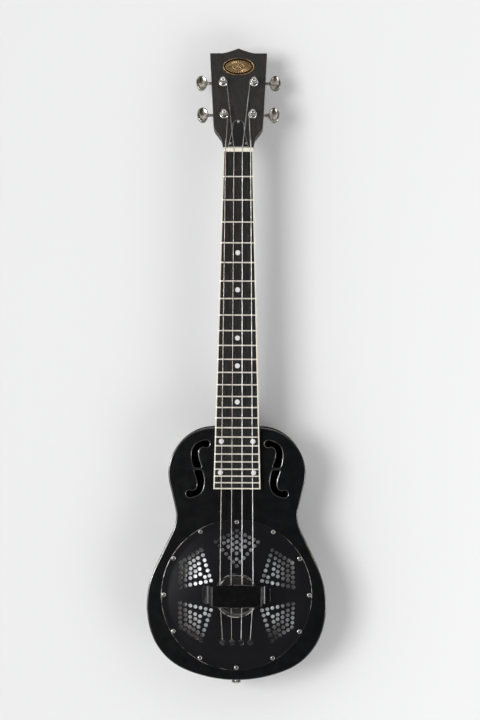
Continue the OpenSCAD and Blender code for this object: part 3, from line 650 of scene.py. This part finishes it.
def revolve(profile, sides):
    """(radius, z) points turned round z.  A radius of 0 makes a pole."""
    verts, faces, rows = [], [], []
    for r, z in profile:
        ring = [(0, 0)] if r < 1e-6 else circle((0, 0), r, sides)
        rows.append([len(verts) + i for i in range(len(ring))])
        verts += [(x, y, z) for x, y in ring]
    for a, b in zip(rows, rows[1:]):
        for i in range(sides):
            j = (i + 1) % sides
            quad = [a[i % len(a)], a[j % len(a)], b[j % len(b)], b[i % len(b)]]
            faces.append(tuple(dict.fromkeys(quad)))
    return verts, faces


def tube(path, radius, sides=12):
    """A round bar along a path.  Each ring's frame is carried on from the last."""
    points = [np.array(p, float) for p in path]
    rings, across = [], None
    for k, p in enumerate(points):
        ahead = points[min(k + 1, len(points) - 1)] - points[max(k - 1, 0)]
        ahead /= np.linalg.norm(ahead)
        if across is None:
            across = np.cross(ahead, [0, 0, 1] if abs(ahead[2]) < 0.9 else [1, 0, 0])
        across = across - ahead * np.dot(across, ahead)
        across /= np.linalg.norm(across)
        up = np.cross(ahead, across)
        rings.append([p + radius * (across * c + up * s) for c, s in circle((0, 0), 1, sides)])
    return loft(rings)


def merged(parts):
    """Several (verts, faces) as one."""
    verts, faces = [], []
    for v, f in parts:
        faces += [tuple(i + len(verts) for i in face) for face in f]
        verts += v
    return verts, faces


def refined(name, node, width, steps=2, crease=30):
    """A copy of a CAD node's mesh with its sharp edges rounded to a width."""
    bm = bmesh.new()
    bm.from_mesh(NODES[node].data)
    bmesh.ops.remove_doubles(bm, verts=bm.verts, dist=1e-6)
    bmesh.ops.dissolve_limit(bm, angle_limit=math.radians(0.3), verts=bm.verts, edges=bm.edges)
    edge = bm.loops.layers.float.new("edge")
    sharp = [
        e for e in bm.edges if e.is_manifold and e.calc_face_angle(0) > math.radians(crease)
    ]
    made = bmesh.ops.bevel(
        bm, geom=sharp, offset=width * MM, segments=steps, profile=0.5, affect="EDGES",
        clamp_overlap=False,
    )
    for face in made["faces"]:
        for loop in face.loops:
            loop[edge] = 1
    mesh = bpy.data.meshes.new(name)
    bm.to_mesh(mesh)
    bm.free()
    for old in ("custom_normal", "sharp_edge"):
        if old in mesh.attributes:
            mesh.attributes.remove(mesh.attributes[old])
    mesh.materials.clear()
    mesh.materials.append(FINISHES[SLOT_OF[node]])
    return show(name, mesh, [node], crease=40)


# ---- Body ----


def folded_edge(radius):
    """Profile of a plate's rim: rounded over, and folded down as a lip on the sides."""
    turn = [math.radians(a) for a in range(0, 91, 15)]
    inner = radius - SHEET
    over = [(radius * (1 - math.sin(a)), radius * (1 - math.cos(a))) for a in turn]
    hem = [(0, LIP - 0.4), (0.1, LIP - 0.1), (0.4, LIP), (SHEET - 0.3, LIP), (SHEET, LIP - 0.3)]
    back = [
        (SHEET + inner * (1 - math.sin(a)), SHEET + inner * (1 - math.cos(a)))
        for a in reversed(turn)
    ]
    return [(SLIM + inset, drop) for inset, drop in over + hem + back]


def rolled_edge(radius, depth):
    """Profile of an f-hole's edge, pressed down into the body."""
    turn = [math.radians(a) for a in range(0, 91, 18)]
    over = [(radius * (1 - math.sin(a)), radius * (1 - math.cos(a))) for a in turn]
    hem = [(0, depth - 0.2), (0.15, depth), (0.6, depth), (0.8, depth - 0.25)]
    return over + hem + [(radius, SHEET)]


def body_pieces():
    """The top with its f-holes, the back, and the side band between them."""
    rim = folded_edge(1.6)
    slit = rolled_edge(1.5, 2.3)
    square_cut = [(0.2, 0), (0.05, 0.05), (0, 0.2), (0, SHEET - 0.2), (0.2, SHEET)]
    holes = [f_hole(True), f_hole(False)]
    left = [[(-x, y) for x, y in reversed(hole)] for hole in holes]
    loops = [(body_outline(0), rim), (clockwise(circle((0, 0), WELL_R, 180)), square_cut)]
    loops += [(clockwise(hole), slit) for hole in holes + left]
    show("top_shell", plate(loops, lambda x, y: TOP_Z), ["body_top"])
    show("back_shell", plate([(body_outline(0), rim)], lambda x, y: 0,
                             place=lambda p: (p[0], p[1], -p[2])), ["body_back"])

    outer, inner = body_outline(SIDE_GAP), body_outline(SIDE_GAP + SHEET)
    foot, head = low("body_sides").z, high("body_sides").z
    walls = [(outer, foot), (outer, head), (inner, head), (inner, foot)]
    band = build(*loft([[(x, y, z) for x, y in ring] for ring, z in walls], closed=True))
    bar_lo, bar_hi, room = low("neck_stick"), high("neck_stick"), 0.3
    slot = box_mesh((bar_lo.x - room, 170, bar_lo.z - room), (bar_hi.x + room, 200, bar_hi.z + room))
    show("side_band", boolean(band, slot, "DIFFERENCE"), ["body_sides"])


# ---- Coverplate, cone and handrest ----


def kite_holes():
    """Centres of one group's perforations, with the first coordinate away from the cone."""
    du = HOLE_STEP * math.sin(math.radians(HOLE_TILT))
    dv = HOLE_STEP * math.cos(math.radians(HOLE_TILT))
    outer_u, row_step, tail_steps, tail_u, tail_v = 74.2, 6.46, 6, -4.57, -4.07
    for row in range(HOLE_ROWS + 1):
        reach = HOLE_ROWS if row == 0 else max(0, HOLE_ROWS - 1 - row)
        for j in range(-reach, reach + 1):
            yield outer_u - row_step * row - du * abs(j), dv * j
    for i in range(1, tail_steps + 1):
        v = dv * HOLE_ROWS + tail_v * i
        for side in (1,) if i == tail_steps else (-1, 1):
            yield outer_u - du * HOLE_ROWS + tail_u * i, side * v


def cover_piece():
    """The coverplate: five groups of perforations, four keyholes and a rolled opening."""
    holes = []
    for group in GROUPS:
        along, across = direction(group), direction(group + 90)
        holes += [tuple(u * along + v * across) for u, v in kite_holes()]
    punched = [(0.22, 0), (0.07, 0.05), (0, 0.2), (0, 0.85), (0.15, COVER_T)]
    rim = [(0.5, 0), (0.2, 0.1), (0.03, 0.3), (0, 0.55), (0.1, 0.95), (0.5, COVER_T)]
    loops = [(circle((0, 0), COVER_R - SLIM, 240), rim)]
    loops += [(clockwise(circle(c, HOLE_R, 20)), punched) for c in holes]
    for x in ANCHOR_X:
        swing = math.degrees(math.acos(SLOT_HW / KEYHOLE_R))
        keyhole = [(x + SLOT_HW, SLOT_TOP), (x - SLOT_HW, SLOT_TOP)]
        keyhole += arc((x, KEYHOLE_Y), KEYHOLE_R, 180 - swing, 360 + swing, 24)
        loops.append((clockwise(unique(keyhole)), punched))
    # the opening's edge is rolled: a round bead that starts and ends in the sheet
    start_r = OPENING_R + 2.2
    bead_z = dome_z(OPENING_R) - COVER_T / 2
    bead = [
        (start_r - OPENING_R - ROLL_R - ROLL_R * c, dome_z(start_r) - bead_z - ROLL_R * s)
        for c, s in arc((0, 0), 1, 20, 335, 18)
    ]
    roll = [(0, 0)] + bead + [(0, COVER_T)]
    loops.append((clockwise(circle((0, 0), start_r, 120)), roll))
    places = np.array(holes + [(x, KEYHOLE_Y + 1.5) for x in ANCHOR_X])
    spread = []
    for r in [26 + 4 * k for k in range(13)] + [76.5, 78, 79, 80, 81, 82.5, 85]:
        for p in circle((0, 0), r, 96):
            if np.linalg.norm(places - p, axis=1).min() > HOLE_R + 2:
                spread.append(p)
    cover = plate(loops, lambda x, y: dome_z(math.hypot(x, y)), spread)
    show("perforated_cover", cover, ["coverplate"])


def cone_piece():
    """The spun cone: a flat foot, a slope with pressed steps, and a flat crown."""
    foot_z, crown_z = low("resonator_cone").z, high("resonator_cone").z
    wall, foot_r, crown_r, rim_r = 0.5, 72.5, 21.0, 76.5 - SLIM
    rise, step_depth = crown_z - wall - foot_z, 0.22
    upper = []
    for i in range(61):
        t = i / 60
        ripple = step_depth * math.sin(14 * math.pi * t) * math.sin(math.pi * t)
        z = foot_z + rise * (0.25 * math.sin(math.pi * t / 2) + 0.75 * t) + wall
        upper.append((lerp(foot_r, crown_r, t), min(z + ripple, crown_z)))
    lip = [(rim_r, foot_z + 0.1), (rim_r, foot_z + wall), (rim_r - 0.5, foot_z + wall + 0.2)]
    profile = lip + [(74, foot_z + wall)] + upper + [(19, crown_z), (1.6, crown_z)]
    under = [(1.6, crown_z - wall)] + [(r, z - wall) for r, z in reversed(upper)]
    profile += under + [(74, foot_z)]
    verts, faces = revolve(profile + [profile[0]], 144)
    cone = build(verts, faces)
    bm = bmesh.new()
    bm.from_mesh(cone)
    bmesh.ops.remove_doubles(bm, verts=bm.verts, dist=1e-7)
    bmesh.ops.recalc_face_normals(bm, faces=bm.faces)
    bm.to_mesh(cone)
    bm.free()
    show("spun_cone", cone, ["resonator_cone"], crease=50)


def biscuit_piece():
    """The turned disc on the cone's crown: a rounded rim and a shallow groove in its face."""
    foot, top, r = low("biscuit").z, high("biscuit").z, 21.5
    groove = [(17.2, top), (17.0, top - 0.25), (16.2, top - 0.25), (16.0, top)]
    rim = [(r - 0.5, foot), (r, foot + 0.5), (r, top - 1)]
    rim += [(r - 1 + c, top - 1 + s) for c, s in arc((0, 0), 1, 15, 90, 5)]
    mesh = build(*revolve([(0, foot)] + rim + groove + [(0, top)], 96))
    mesh.materials.append(dark_maple())
    show("turned_biscuit", mesh, ["biscuit"])


# ---- Neck and head ----


def head_outline():
    """The head's outline in its own frame: a flare, straight flanks and a peaked top."""
    half = [(board_hw(HEAD_Y) + 0.3, 0)]
    half += bezier([(17.9, 3), (18.4, 13), (23.4, 17.5), (26.1, 21.5)], 24)
    half += bezier([(26.1, 21.5), (27.8, 24), (28.6, 26.5), (28.8, 31)], 12)
    half += [(HEAD_TOP_HW - 0.1, HEAD_LEN - 1), (HEAD_TOP_HW - 0.4, HEAD_LEN - 0.25)]
    half += [(HEAD_TOP_HW - 1, HEAD_LEN)]
    reach = 19.5
    for i in range(21):
        x = reach * (1 - i / 20)
        half.append((x, HEAD_LEN + HEAD_PEAK * (1 - x / reach) ** 1.4))
    return unique(mirrored(half))


def head_hw(y):
    """Half-width of the head in its tapered stretch next to the nut."""
    flare = sorted((p[1], p[0]) for p in head_outline() if p[0] > 0 and p[1] < 60)
    return float(np.interp(y, *zip(*flare)))


def neck_section(y, half_width, depth, steps=40):
    """The D-shaped section of the neck, under the fingerboard."""
    turn = [math.pi * i / steps for i in range(steps + 1)]
    return [
        (half_width * math.cos(a), y, BOARD_Z - depth * abs(math.sin(a)) ** 0.85) for a in turn
    ]


def neck_pieces():
    body_end = high("body_top").y
    rings = [neck_section(body_end - 8, board_hw(body_end), HEEL_T)]
    for k in range(21):
        a = math.radians(90 - 4.5 * k)
        y = HEEL_Y + HEEL_CURVE * (1 - math.sin(a))
        rings.append(neck_section(y, board_hw(y), lerp(HEEL_T, NECK_T_HEEL, math.cos(a))))
    for k in range(1, 10):
        t = k / 9
        y = lerp(HEEL_Y + HEEL_CURVE, HEAD_Y, t)
        slope = (y - HEEL_Y) / (HEAD_Y - HEEL_Y)
        rings.append(neck_section(y, board_hw(y), lerp(NECK_T_HEEL, NECK_T_NUT, slope)))
    neck = build(*loft(rings))

    bores = [clockwise(circle(p, BORE_R, 40)) for p in zip(POST_X, POST_Y)]
    core = HEAD_T - VENEER_T
    slab_edge = [(0.01, 0), (0, 0.05), (0, core - 1.0), (0.3, core - 0.3), (1.0, core)]
    loops = [(head_outline(), slab_edge)]
    loops += [(bore, [(0.01, 0), (0, 0.05), (0, core)]) for bore in bores]
    slab = plate(loops, lambda x, y: -VENEER_T, place=in_head)
    ring = [(-30, -3), (30, -3), (30, VOLUTE_Y - 0.5), (-30, VOLUTE_Y - 0.5)]
    room = build(*loft([[in_head((x, y, z)) for x, y in ring] for z in (-HEAD_T - 1, -4.5)]))
    neck = boolean(neck, boolean(slab, room, "DIFFERENCE"), "UNION")

    steps, volute = 16, []
    for k in range(steps + 1):
        t = k / steps
        ease = smooth(t)
        station = lerp(VOLUTE_START, VOLUTE_Y, t)
        outline_hw = board_hw(HEAD_Y + station) if station < 0 else head_hw(station)
        half_width = outline_hw - SLIM
        row = []
        for a in (math.pi * i / 40 for i in range(41)):
            c, s = math.cos(a), abs(math.sin(a))
            x = half_width * lerp(c, math.copysign(abs(c) ** 0.18, c), ease)
            neck_z = BOARD_Z - (NECK_T_NUT + 0.1) * s**0.85
            _, head_y, head_z = in_head((x, VOLUTE_Y, -VENEER_T - 0.3 - (core - 0.32) * s**0.16))
            swell = VOLUTE_SWELL * s * math.sin(math.pi * t)
            y = lerp(HEAD_Y + VOLUTE_START, head_y, t)
            row.append((x, y, lerp(neck_z, head_z, t) - swell))
        volute.append(row)
    neck = boolean(neck, build(*loft(volute)), "UNION")
    pad_ring = [(-25, BOARD_END_Y + 2), (25, BOARD_END_Y + 2), (24, 215), (-24, 215)]
    pad = build(*loft([[(x, y, z) for x, y in pad_ring] for z in (TOP_Z, BOARD_Z)]))
    neck = boolean(neck, pad, "UNION")
    body = build(*loft([[(x, y, z) for x, y in body_outline(-SLIM)] for z in (-1, TOP_Z)]))
    neck = boolean(neck, body, "DIFFERENCE")
    rod = low("truss_rod")
    channel = box_mesh((-3, rod.y - 1, BOARD_Z - 8.5), (3, HEAD_Y + 10, BOARD_Z + 3.5))
    neck = boolean(neck, channel, "DIFFERENCE")
    seat = box_mesh((-40, NUT_Y, BOARD_Z), (40, HEAD_Y, BOARD_Z + 20))
    neck = boolean(neck, seat, "DIFFERENCE")
    show("carved_neck", neck, ["neck"], crease=32)

    face_edge = [(0.45, 0), (0.15, 0.12), (0.01, 0.4), (0, VENEER_T)]
    pocket = [(-5, 1), (5, 1), (5, 16), (-5, 16)]
    loops = [(head_outline(), face_edge)]
    loops += [(bore, [(0.1, 0), (0, 0.1), (0, VENEER_T)]) for bore in bores]
    loops += [(clockwise(pocket), [(0.01, 0), (0, 0.05), (0, VENEER_T)])]
    veneer = plate(loops, lambda x, y: 0, place=in_head)
    seat = box_mesh((-40, NUT_Y, BOARD_Z - 0.1), (40, HEAD_Y, BOARD_Z + 20))
    show("head_face", boolean(veneer, seat, "DIFFERENCE"), ["head_veneer"])


def fret_pieces():
    """The wires: a crown with filed, rounded ends, and a tang in the board's slot."""
    crown_r, crown_lift, parts = 0.85, 0.15, []
    profile = [(crown_r * c, crown_lift + crown_r * s) for c, s in arc((0, 0), 1, 0, 180, 14)]
    profile = [(crown_r, 0.0)] + profile + [(-crown_r, 0.0)]
    for n in range(1, FRETS + 1):
        y, hw = fret_y(n), board_hw(fret_y(n)) - 0.3
        ends = ((0, 0.12), (0.12, 0.45), (0.35, 0.78), (0.7, 0.95), (1.1, 1.0))
        stations = [(-hw + d, s) for d, s in ends] + [(hw - d, s) for d, s in reversed(ends)]
        rings = [
            [(x, y + w * (0.7 + 0.3 * s), BOARD_TOP + h * s) for w, h in profile]
            for x, s in stations
        ]
        tang_hw = hw - 1.5
        corners = ((-0.25, 0), (-0.25, -1.8), (0.25, -1.8), (0.25, 0))
        tang = [
            [(x, y + dy, BOARD_TOP + dz) for dy, dz in corners] for x in (-tang_hw, tang_hw)
        ]
        parts += [loft(rings), loft(tang)]
    show("fret_wires", build(*merged(parts)), ["frets"], crease=50)


def rod_cover_piece():
    """The bell-shaped plate over the truss rod's nut, with a wide bevel."""
    half = [(12.1, 0.6)] + bezier([(12.1, 1.2), (9.8, 10), (7.6, 18), (6.8, 24.6)], 20)[1:]
    half += arc((0, 27.3), 6.75, 4, 90, 24)
    bevel = [(0.65, 0), (0.63, 0.01), (0.6, 0.03), (0.1, 0.6), (0.07, 0.63), (0.04, 0.68)]
    bevel += [(0.01, 0.8), (0, 1.1), (0, ROD_COVER_T)]
    hole = [(0.1, 0), (0, 0.1), (0, ROD_COVER_T)]
    loops = [(unique(mirrored(half)), bevel)]
    loops += [(clockwise(circle(c, 0.85, 24)), hole) for c in ((0, 31.4), (-9.4, 4.6), (9.4, 4.6))]
    cover = plate(loops, lambda x, y: ROD_COVER_T, place=in_head)
    show("bell_rod_cover", cover, ["truss_rod_cover"])


def badge_piece():
    """An oval plate: a raised rim, a dark ground, and a lens of rays round a rosette."""
    a, b, centre, base = high("head_badge").x, 10.7, 100.1, 0.55
    rim_start, rim_end = 0.93, 0.985
    rows = [0, 0.05, 0.1] + [0.1 + 0.025 * k for k in range(1, 30)]
    rows += [0.84, 0.86, 0.875, 0.9, 0.925, 0.935, 0.945, 0.955, 0.965, 0.975, 0.985, 1.0]
    sides, verts, recess = 180, [], []
    for s in rows:
        for i in range(sides if s else 1):
            turn = 2 * math.pi * i / sides
            if s > rim_start:
                swell = math.sin(math.pi * min(1, (s - rim_start) / (rim_end - rim_start)))
                relief = 0.8 * max(0, swell) ** 0.6 if s < rim_end else 0
                dark = float(s < 0.94)
            else:
                field = clamp((0.87 - 0.12 * abs(math.sin(turn)) - s) / 0.05)
                rays = 0.5 + 0.5 * math.cos(28 * turn)
                petals = 0.5 + 0.5 * math.cos(8 * turn)
                ring = math.exp(-(((s - 0.36) / 0.035) ** 2))
                band = clamp((s - 0.40) / 0.06)
                bud = petals * clamp((0.32 - s) / 0.08)
                hub = 1 if s < 0.09 else 0
                relief = max(ring, rays**2 * band, bud**1.5, hub)
                dark = lerp(1, 0.3 + 0.6 * max(0, 1 - 1.4 * relief), field)
                relief = field * (0.12 + 0.42 * relief)
            verts.append((a * s * math.cos(turn), centre + b * s * math.sin(turn), base + relief))
            recess.append(dark)
    faces = []
    for k in range(len(rows) - 1):
        lower, upper = (0 if k == 0 else 1 + (k - 1) * sides), 1 + k * sides
        for i in range(sides):
            j = (i + 1) % sides
            if k == 0:
                faces.append((0, upper + i, upper + j))
            else:
                faces.append((lower + i, upper + i, upper + j, lower + j))
    rim = 1 + (len(rows) - 2) * sides
    skirt = len(verts)
    verts += [(verts[rim + i][0], verts[rim + i][1], 0) for i in range(sides)]
    recess += [1.0] * sides
    for i in range(sides):
        j = (i + 1) % sides
        faces.append((rim + i, skirt + i, skirt + j, rim + j))
    faces.append(tuple(skirt + i for i in range(sides)))
    mesh = build([in_head(v) for v in verts], faces)
    mesh.attributes.new("recess", "FLOAT", "POINT").data.foreach_set("value", recess)
    show("oval_badge", mesh, ["head_badge"], crease=60)


# ---- Tuning machines ----


def button_piece(i):
    """A cast oval button: dished on both faces inside a rounded rim, on a turned sleeve."""
    side = math.copysign(1, BUTTON_X[i])
    centre = Vector((BUTTON_X[i], POST_Y[i] + WORM_DY, WORM_Z))
    half = BUTTON_SIZE / 2
    face = [(0, 0.51), (0.2, 0.515), (0.42, 0.55), (0.6, 0.64), (0.72, 0.78), (0.79, 0.92),
            (0.85, 0.995), (0.9, 0.97), (0.95, 0.82), (0.985, 0.56), (1.0, 0.24)]
    profile = face + [(1.0, 0)] + [(s, -z) for s, z in reversed(face)]
    shape, faces = revolve(profile, 64)
    verts = []
    for x, y, z in shape:
        egg = 1 - 0.05 * y * side  # slightly fuller at one end
        verts.append(in_head(centre + Vector((x * half.x * egg, y * half.y, z * half.z))))
    mesh = build(verts, faces)
    reach = abs(BUTTON_X[i]) - high("tuner_plates").x - 1.2
    collar = [(0, 4.6), (2.5, 4.6), (2.6, 6.6), (2.2, 6.9), (2.05, 7.4), (2.2, 7.8), (2.0, 8.0)]
    collar += [(1.75, 8.1), (1.75, reach - 0.2), (1.6, reach), (0, reach)]
    shape, faces = revolve(collar, 32)
    sleeve = [in_head(centre + Vector((-side * z, x, y))) for x, y, z in shape]
    mesh = boolean(mesh, build(sleeve, faces), "UNION")
    show(f"oval_button_{i + 1}", mesh, [f"tuner_button_{i + 1}"], crease=55)


def winding_piece(i):
    """Turns of the string up its post, into the post's hole, and the clipped tail."""
    d, start = STRING_D[i], (0 if POST_X[i] < 0 else math.pi)
    way = 1 if POST_X[i] < 0 else -1
    pitch, turns, rise_turns, per_turn = d + 0.03, 2.5, 0.5, 28
    coil_r, hole_r = POST_NECK_R + d / 2 + 0.03, POST_NECK_R + 0.2 + d / 2
    path = []
    for k in range(int(per_turn * turns) + 1):
        a = start + way * 2 * math.pi * k / per_turn
        path.append((coil_r * math.cos(a), coil_r * math.sin(a), COIL_Z + pitch * k / per_turn))
    top = path[-1][2]
    for k in range(1, 15):
        t = k / 14
        a = start + way * 2 * math.pi * (turns + rise_turns * t)
        r = lerp(coil_r, hole_r, t)
        path.append((r * math.cos(a), r * math.sin(a), lerp(top, POST_HOLE_Z, smooth(t))))
    end = math.cos(start + way * 2 * math.pi * (turns + rise_turns))
    tail = [path[-1]] + [(x * end, 0, POST_HOLE_Z) for x in (2.4, 1.4, 0, -2, -4)]
    parts = [
        tube([in_head((POST_X[i] + x, POST_Y[i] + y, z)) for x, y, z in route], radius)
        for route, radius in ((path, d / 2), (tail, TAIL_WIRE_R))
    ]
    show(f"string_turns_{i + 1}", build(*merged(parts)), [f"string_winding_{i + 1}"], crease=60)


def string_piece(i):
    """One string: up from under the coverplate, over the saddle and the nut, to its post."""
    d = STRING_D[i]
    anchor = np.array([ANCHOR_X[i], ANCHOR_Y, 0])
    bare_dome = DOME_TOP - DOME_R + math.sqrt(DOME_R**2 - anchor[0] ** 2 - anchor[1] ** 2)
    anchor[2] = bare_dome + 1.2
    saddle = np.array([SADDLE_X[i], 0, SADDLE_STRING_Z + d / 2])
    nut = np.array([NUT_X[i], NUT_Y + 2.5, NUT_STRING_Z + d / 2])
    inward = math.copysign(POST_NECK_R + 1.5 * d + 0.32, POST_X[i])
    post = np.array(in_head((POST_X[i] - inward, POST_Y[i] + 0.5, COIL_Z)))
    ahead = (saddle - anchor) / np.linalg.norm(saddle - anchor)
    drop = np.array([0, 0, 1.2])
    bend = [
        (1 - t) ** 2 * (anchor - drop) + 2 * t * (1 - t) * anchor + t * t * (anchor + 1.2 * ahead)
        for t in (k / 6 for k in range(7))
    ]
    path = [anchor - 2 * drop] + bend
    for a, b in ((path[-1], saddle), (saddle, nut), (nut, post)):
        steps = max(2, int(np.linalg.norm(b - a) / 20))
        path += [lerp(a, b, k / steps) for k in range(1, steps + 1)]
    show(f"tuned_string_{i + 1}", build(*tube(path, d / 2)), [f"string_{i + 1}"], crease=60)


body_pieces()
cover_piece()
cone_piece()
refined("bent_handrest", "handrest", 0.45, steps=3)
biscuit_piece()
refined("carved_saddle", "saddle", 0.2)
neck_pieces()
fret_pieces()
refined("polished_nut", "nut", 0.3)
refined("board_binding", "fingerboard_binding", 0.25)
rod_cover_piece()
badge_piece()
refined("machine_plates", "tuner_plates", 0.15)
refined("post_bushings", "tuner_bushings", 0.12)
for index in range(4):
    button_piece(index)
    winding_piece(index)
    string_piece(index)
    refined(f"string_post_{index + 1}", f"tuner_post_{index + 1}", 0.15)
    refined(f"brass_gear_{index + 1}", f"tuner_gear_{index + 1}", 0.08)


# ---- Stage: floor, lights and camera ----


def stage_floor(reach=6000):
    """A large pale card with painted light: its colour is a little brighter on the treble side."""
    corners = ((-1, -1), (1, -1), (1, 1), (-1, 1))
    mesh = build([(x * reach, y * reach, 0) for x, y in corners], [(0, 1, 2, 3)])
    floor = bpy.data.objects.new("floor", mesh)
    bpy.context.scene.collection.objects.link(floor)
    m = Finish("floor_card_painted_light", Specular_IOR_Level=0.2)
    split = m.node("SeparateXYZ", {0: m.place}).outputs["X"]
    # painted light: the colour ramps from darker on the bass side to brighter on the treble side,
    # standing in for light falling unevenly on the floor
    m.colour(m.mix(m.ramp(split, -0.3, 0.3), (0.79, 0.79, 0.793), (0.90, 0.90, 0.903)))
    m.rough(m.ramp(m.noise(40, 3), 0.0, 1.0, to=(0.75, 0.85)))
    mesh.materials.append(m.material)


def stage_world(strength):
    """Pale walls round a dark ceiling: bright at the horizon, dim overhead."""
    world = bpy.data.worlds.new("studio")
    bpy.context.scene.world = world
    world.use_nodes = True
    tree = world.node_tree
    add = lambda kind: tree.nodes.new("ShaderNode" + kind)
    place, split, ramp = add("TexCoord"), add("SeparateXYZ"), add("ValToRGB")
    link = tree.links.new
    link(place.outputs["Generated"], split.inputs[0])
    link(split.outputs["Z"], ramp.inputs["Fac"])
    stops = ((0.0, 0.45), (0.35, 0.70), (0.62, 1.12), (0.77, 1.12), (0.885, 0.03), (1.0, 0.015))
    elements = ramp.color_ramp.elements
    while len(elements) < len(stops):
        elements.new(0.5)
    for element, (position, level) in zip(elements, stops):
        element.position = position
        element.color = (level, level, level, 1)
    link(ramp.outputs["Color"], tree.nodes["Background"].inputs["Color"])
    tree.nodes["Background"].inputs["Strength"].default_value = strength


def area_light(name, target, azimuth, zenith, distance, size, power):
    """A soft box that faces a point from a compass angle (0 is +X) and an angle off vertical."""
    data = bpy.data.lights.new(name, "AREA")
    data.shape, data.size, data.energy = "SQUARE", size, power
    light = bpy.data.objects.new(name, data)
    bpy.context.scene.collection.objects.link(light)
    a, z = math.radians(azimuth), math.radians(zenith)
    away = Vector((math.sin(z) * math.cos(a), math.sin(z) * math.sin(a), math.cos(z)))
    light.location = Vector(target) + away * distance
    light.rotation_euler = away.to_track_quat("Z", "Y").to_euler()
    return light


def stage_camera(aim, height, lens, roll):
    """Straight down on the instrument, as it lies on its back."""
    data = bpy.data.cameras.new("camera")
    data.lens, data.clip_end = lens, 50
    camera = bpy.data.objects.new("camera", data)
    bpy.context.scene.collection.objects.link(camera)
    camera.location = (aim[0] * MM, aim[1] * MM, height * MM)
    camera.rotation_euler = (0, 0, math.radians(roll))
    bpy.context.scene.camera = camera


MIDDLE = (0.0, 0.25, 0.05)
stage_floor()
stage_world(strength=0.86)
area_light("key", MIDDLE, azimuth=176, zenith=33, distance=3.5, size=1.5, power=62)
for name, azimuth, zenith, power in (
    ("left glint", 172, 58, 130), ("right glint", -12, 58, 45), ("low glint", 203, 34, 8)
):  # these only light up polished edges
    area_light(name, MIDDLE, azimuth, zenith, 3.2, 0.6, power).visible_diffuse = False
area_light("fill", MIDDLE, azimuth=-40, zenith=52, distance=2.6, size=1.2, power=9)
stage_camera(aim=(3.0, 271.3), height=2260, lens=95, roll=0.22)
bpy.context.scene.view_settings.view_transform = "Standard"
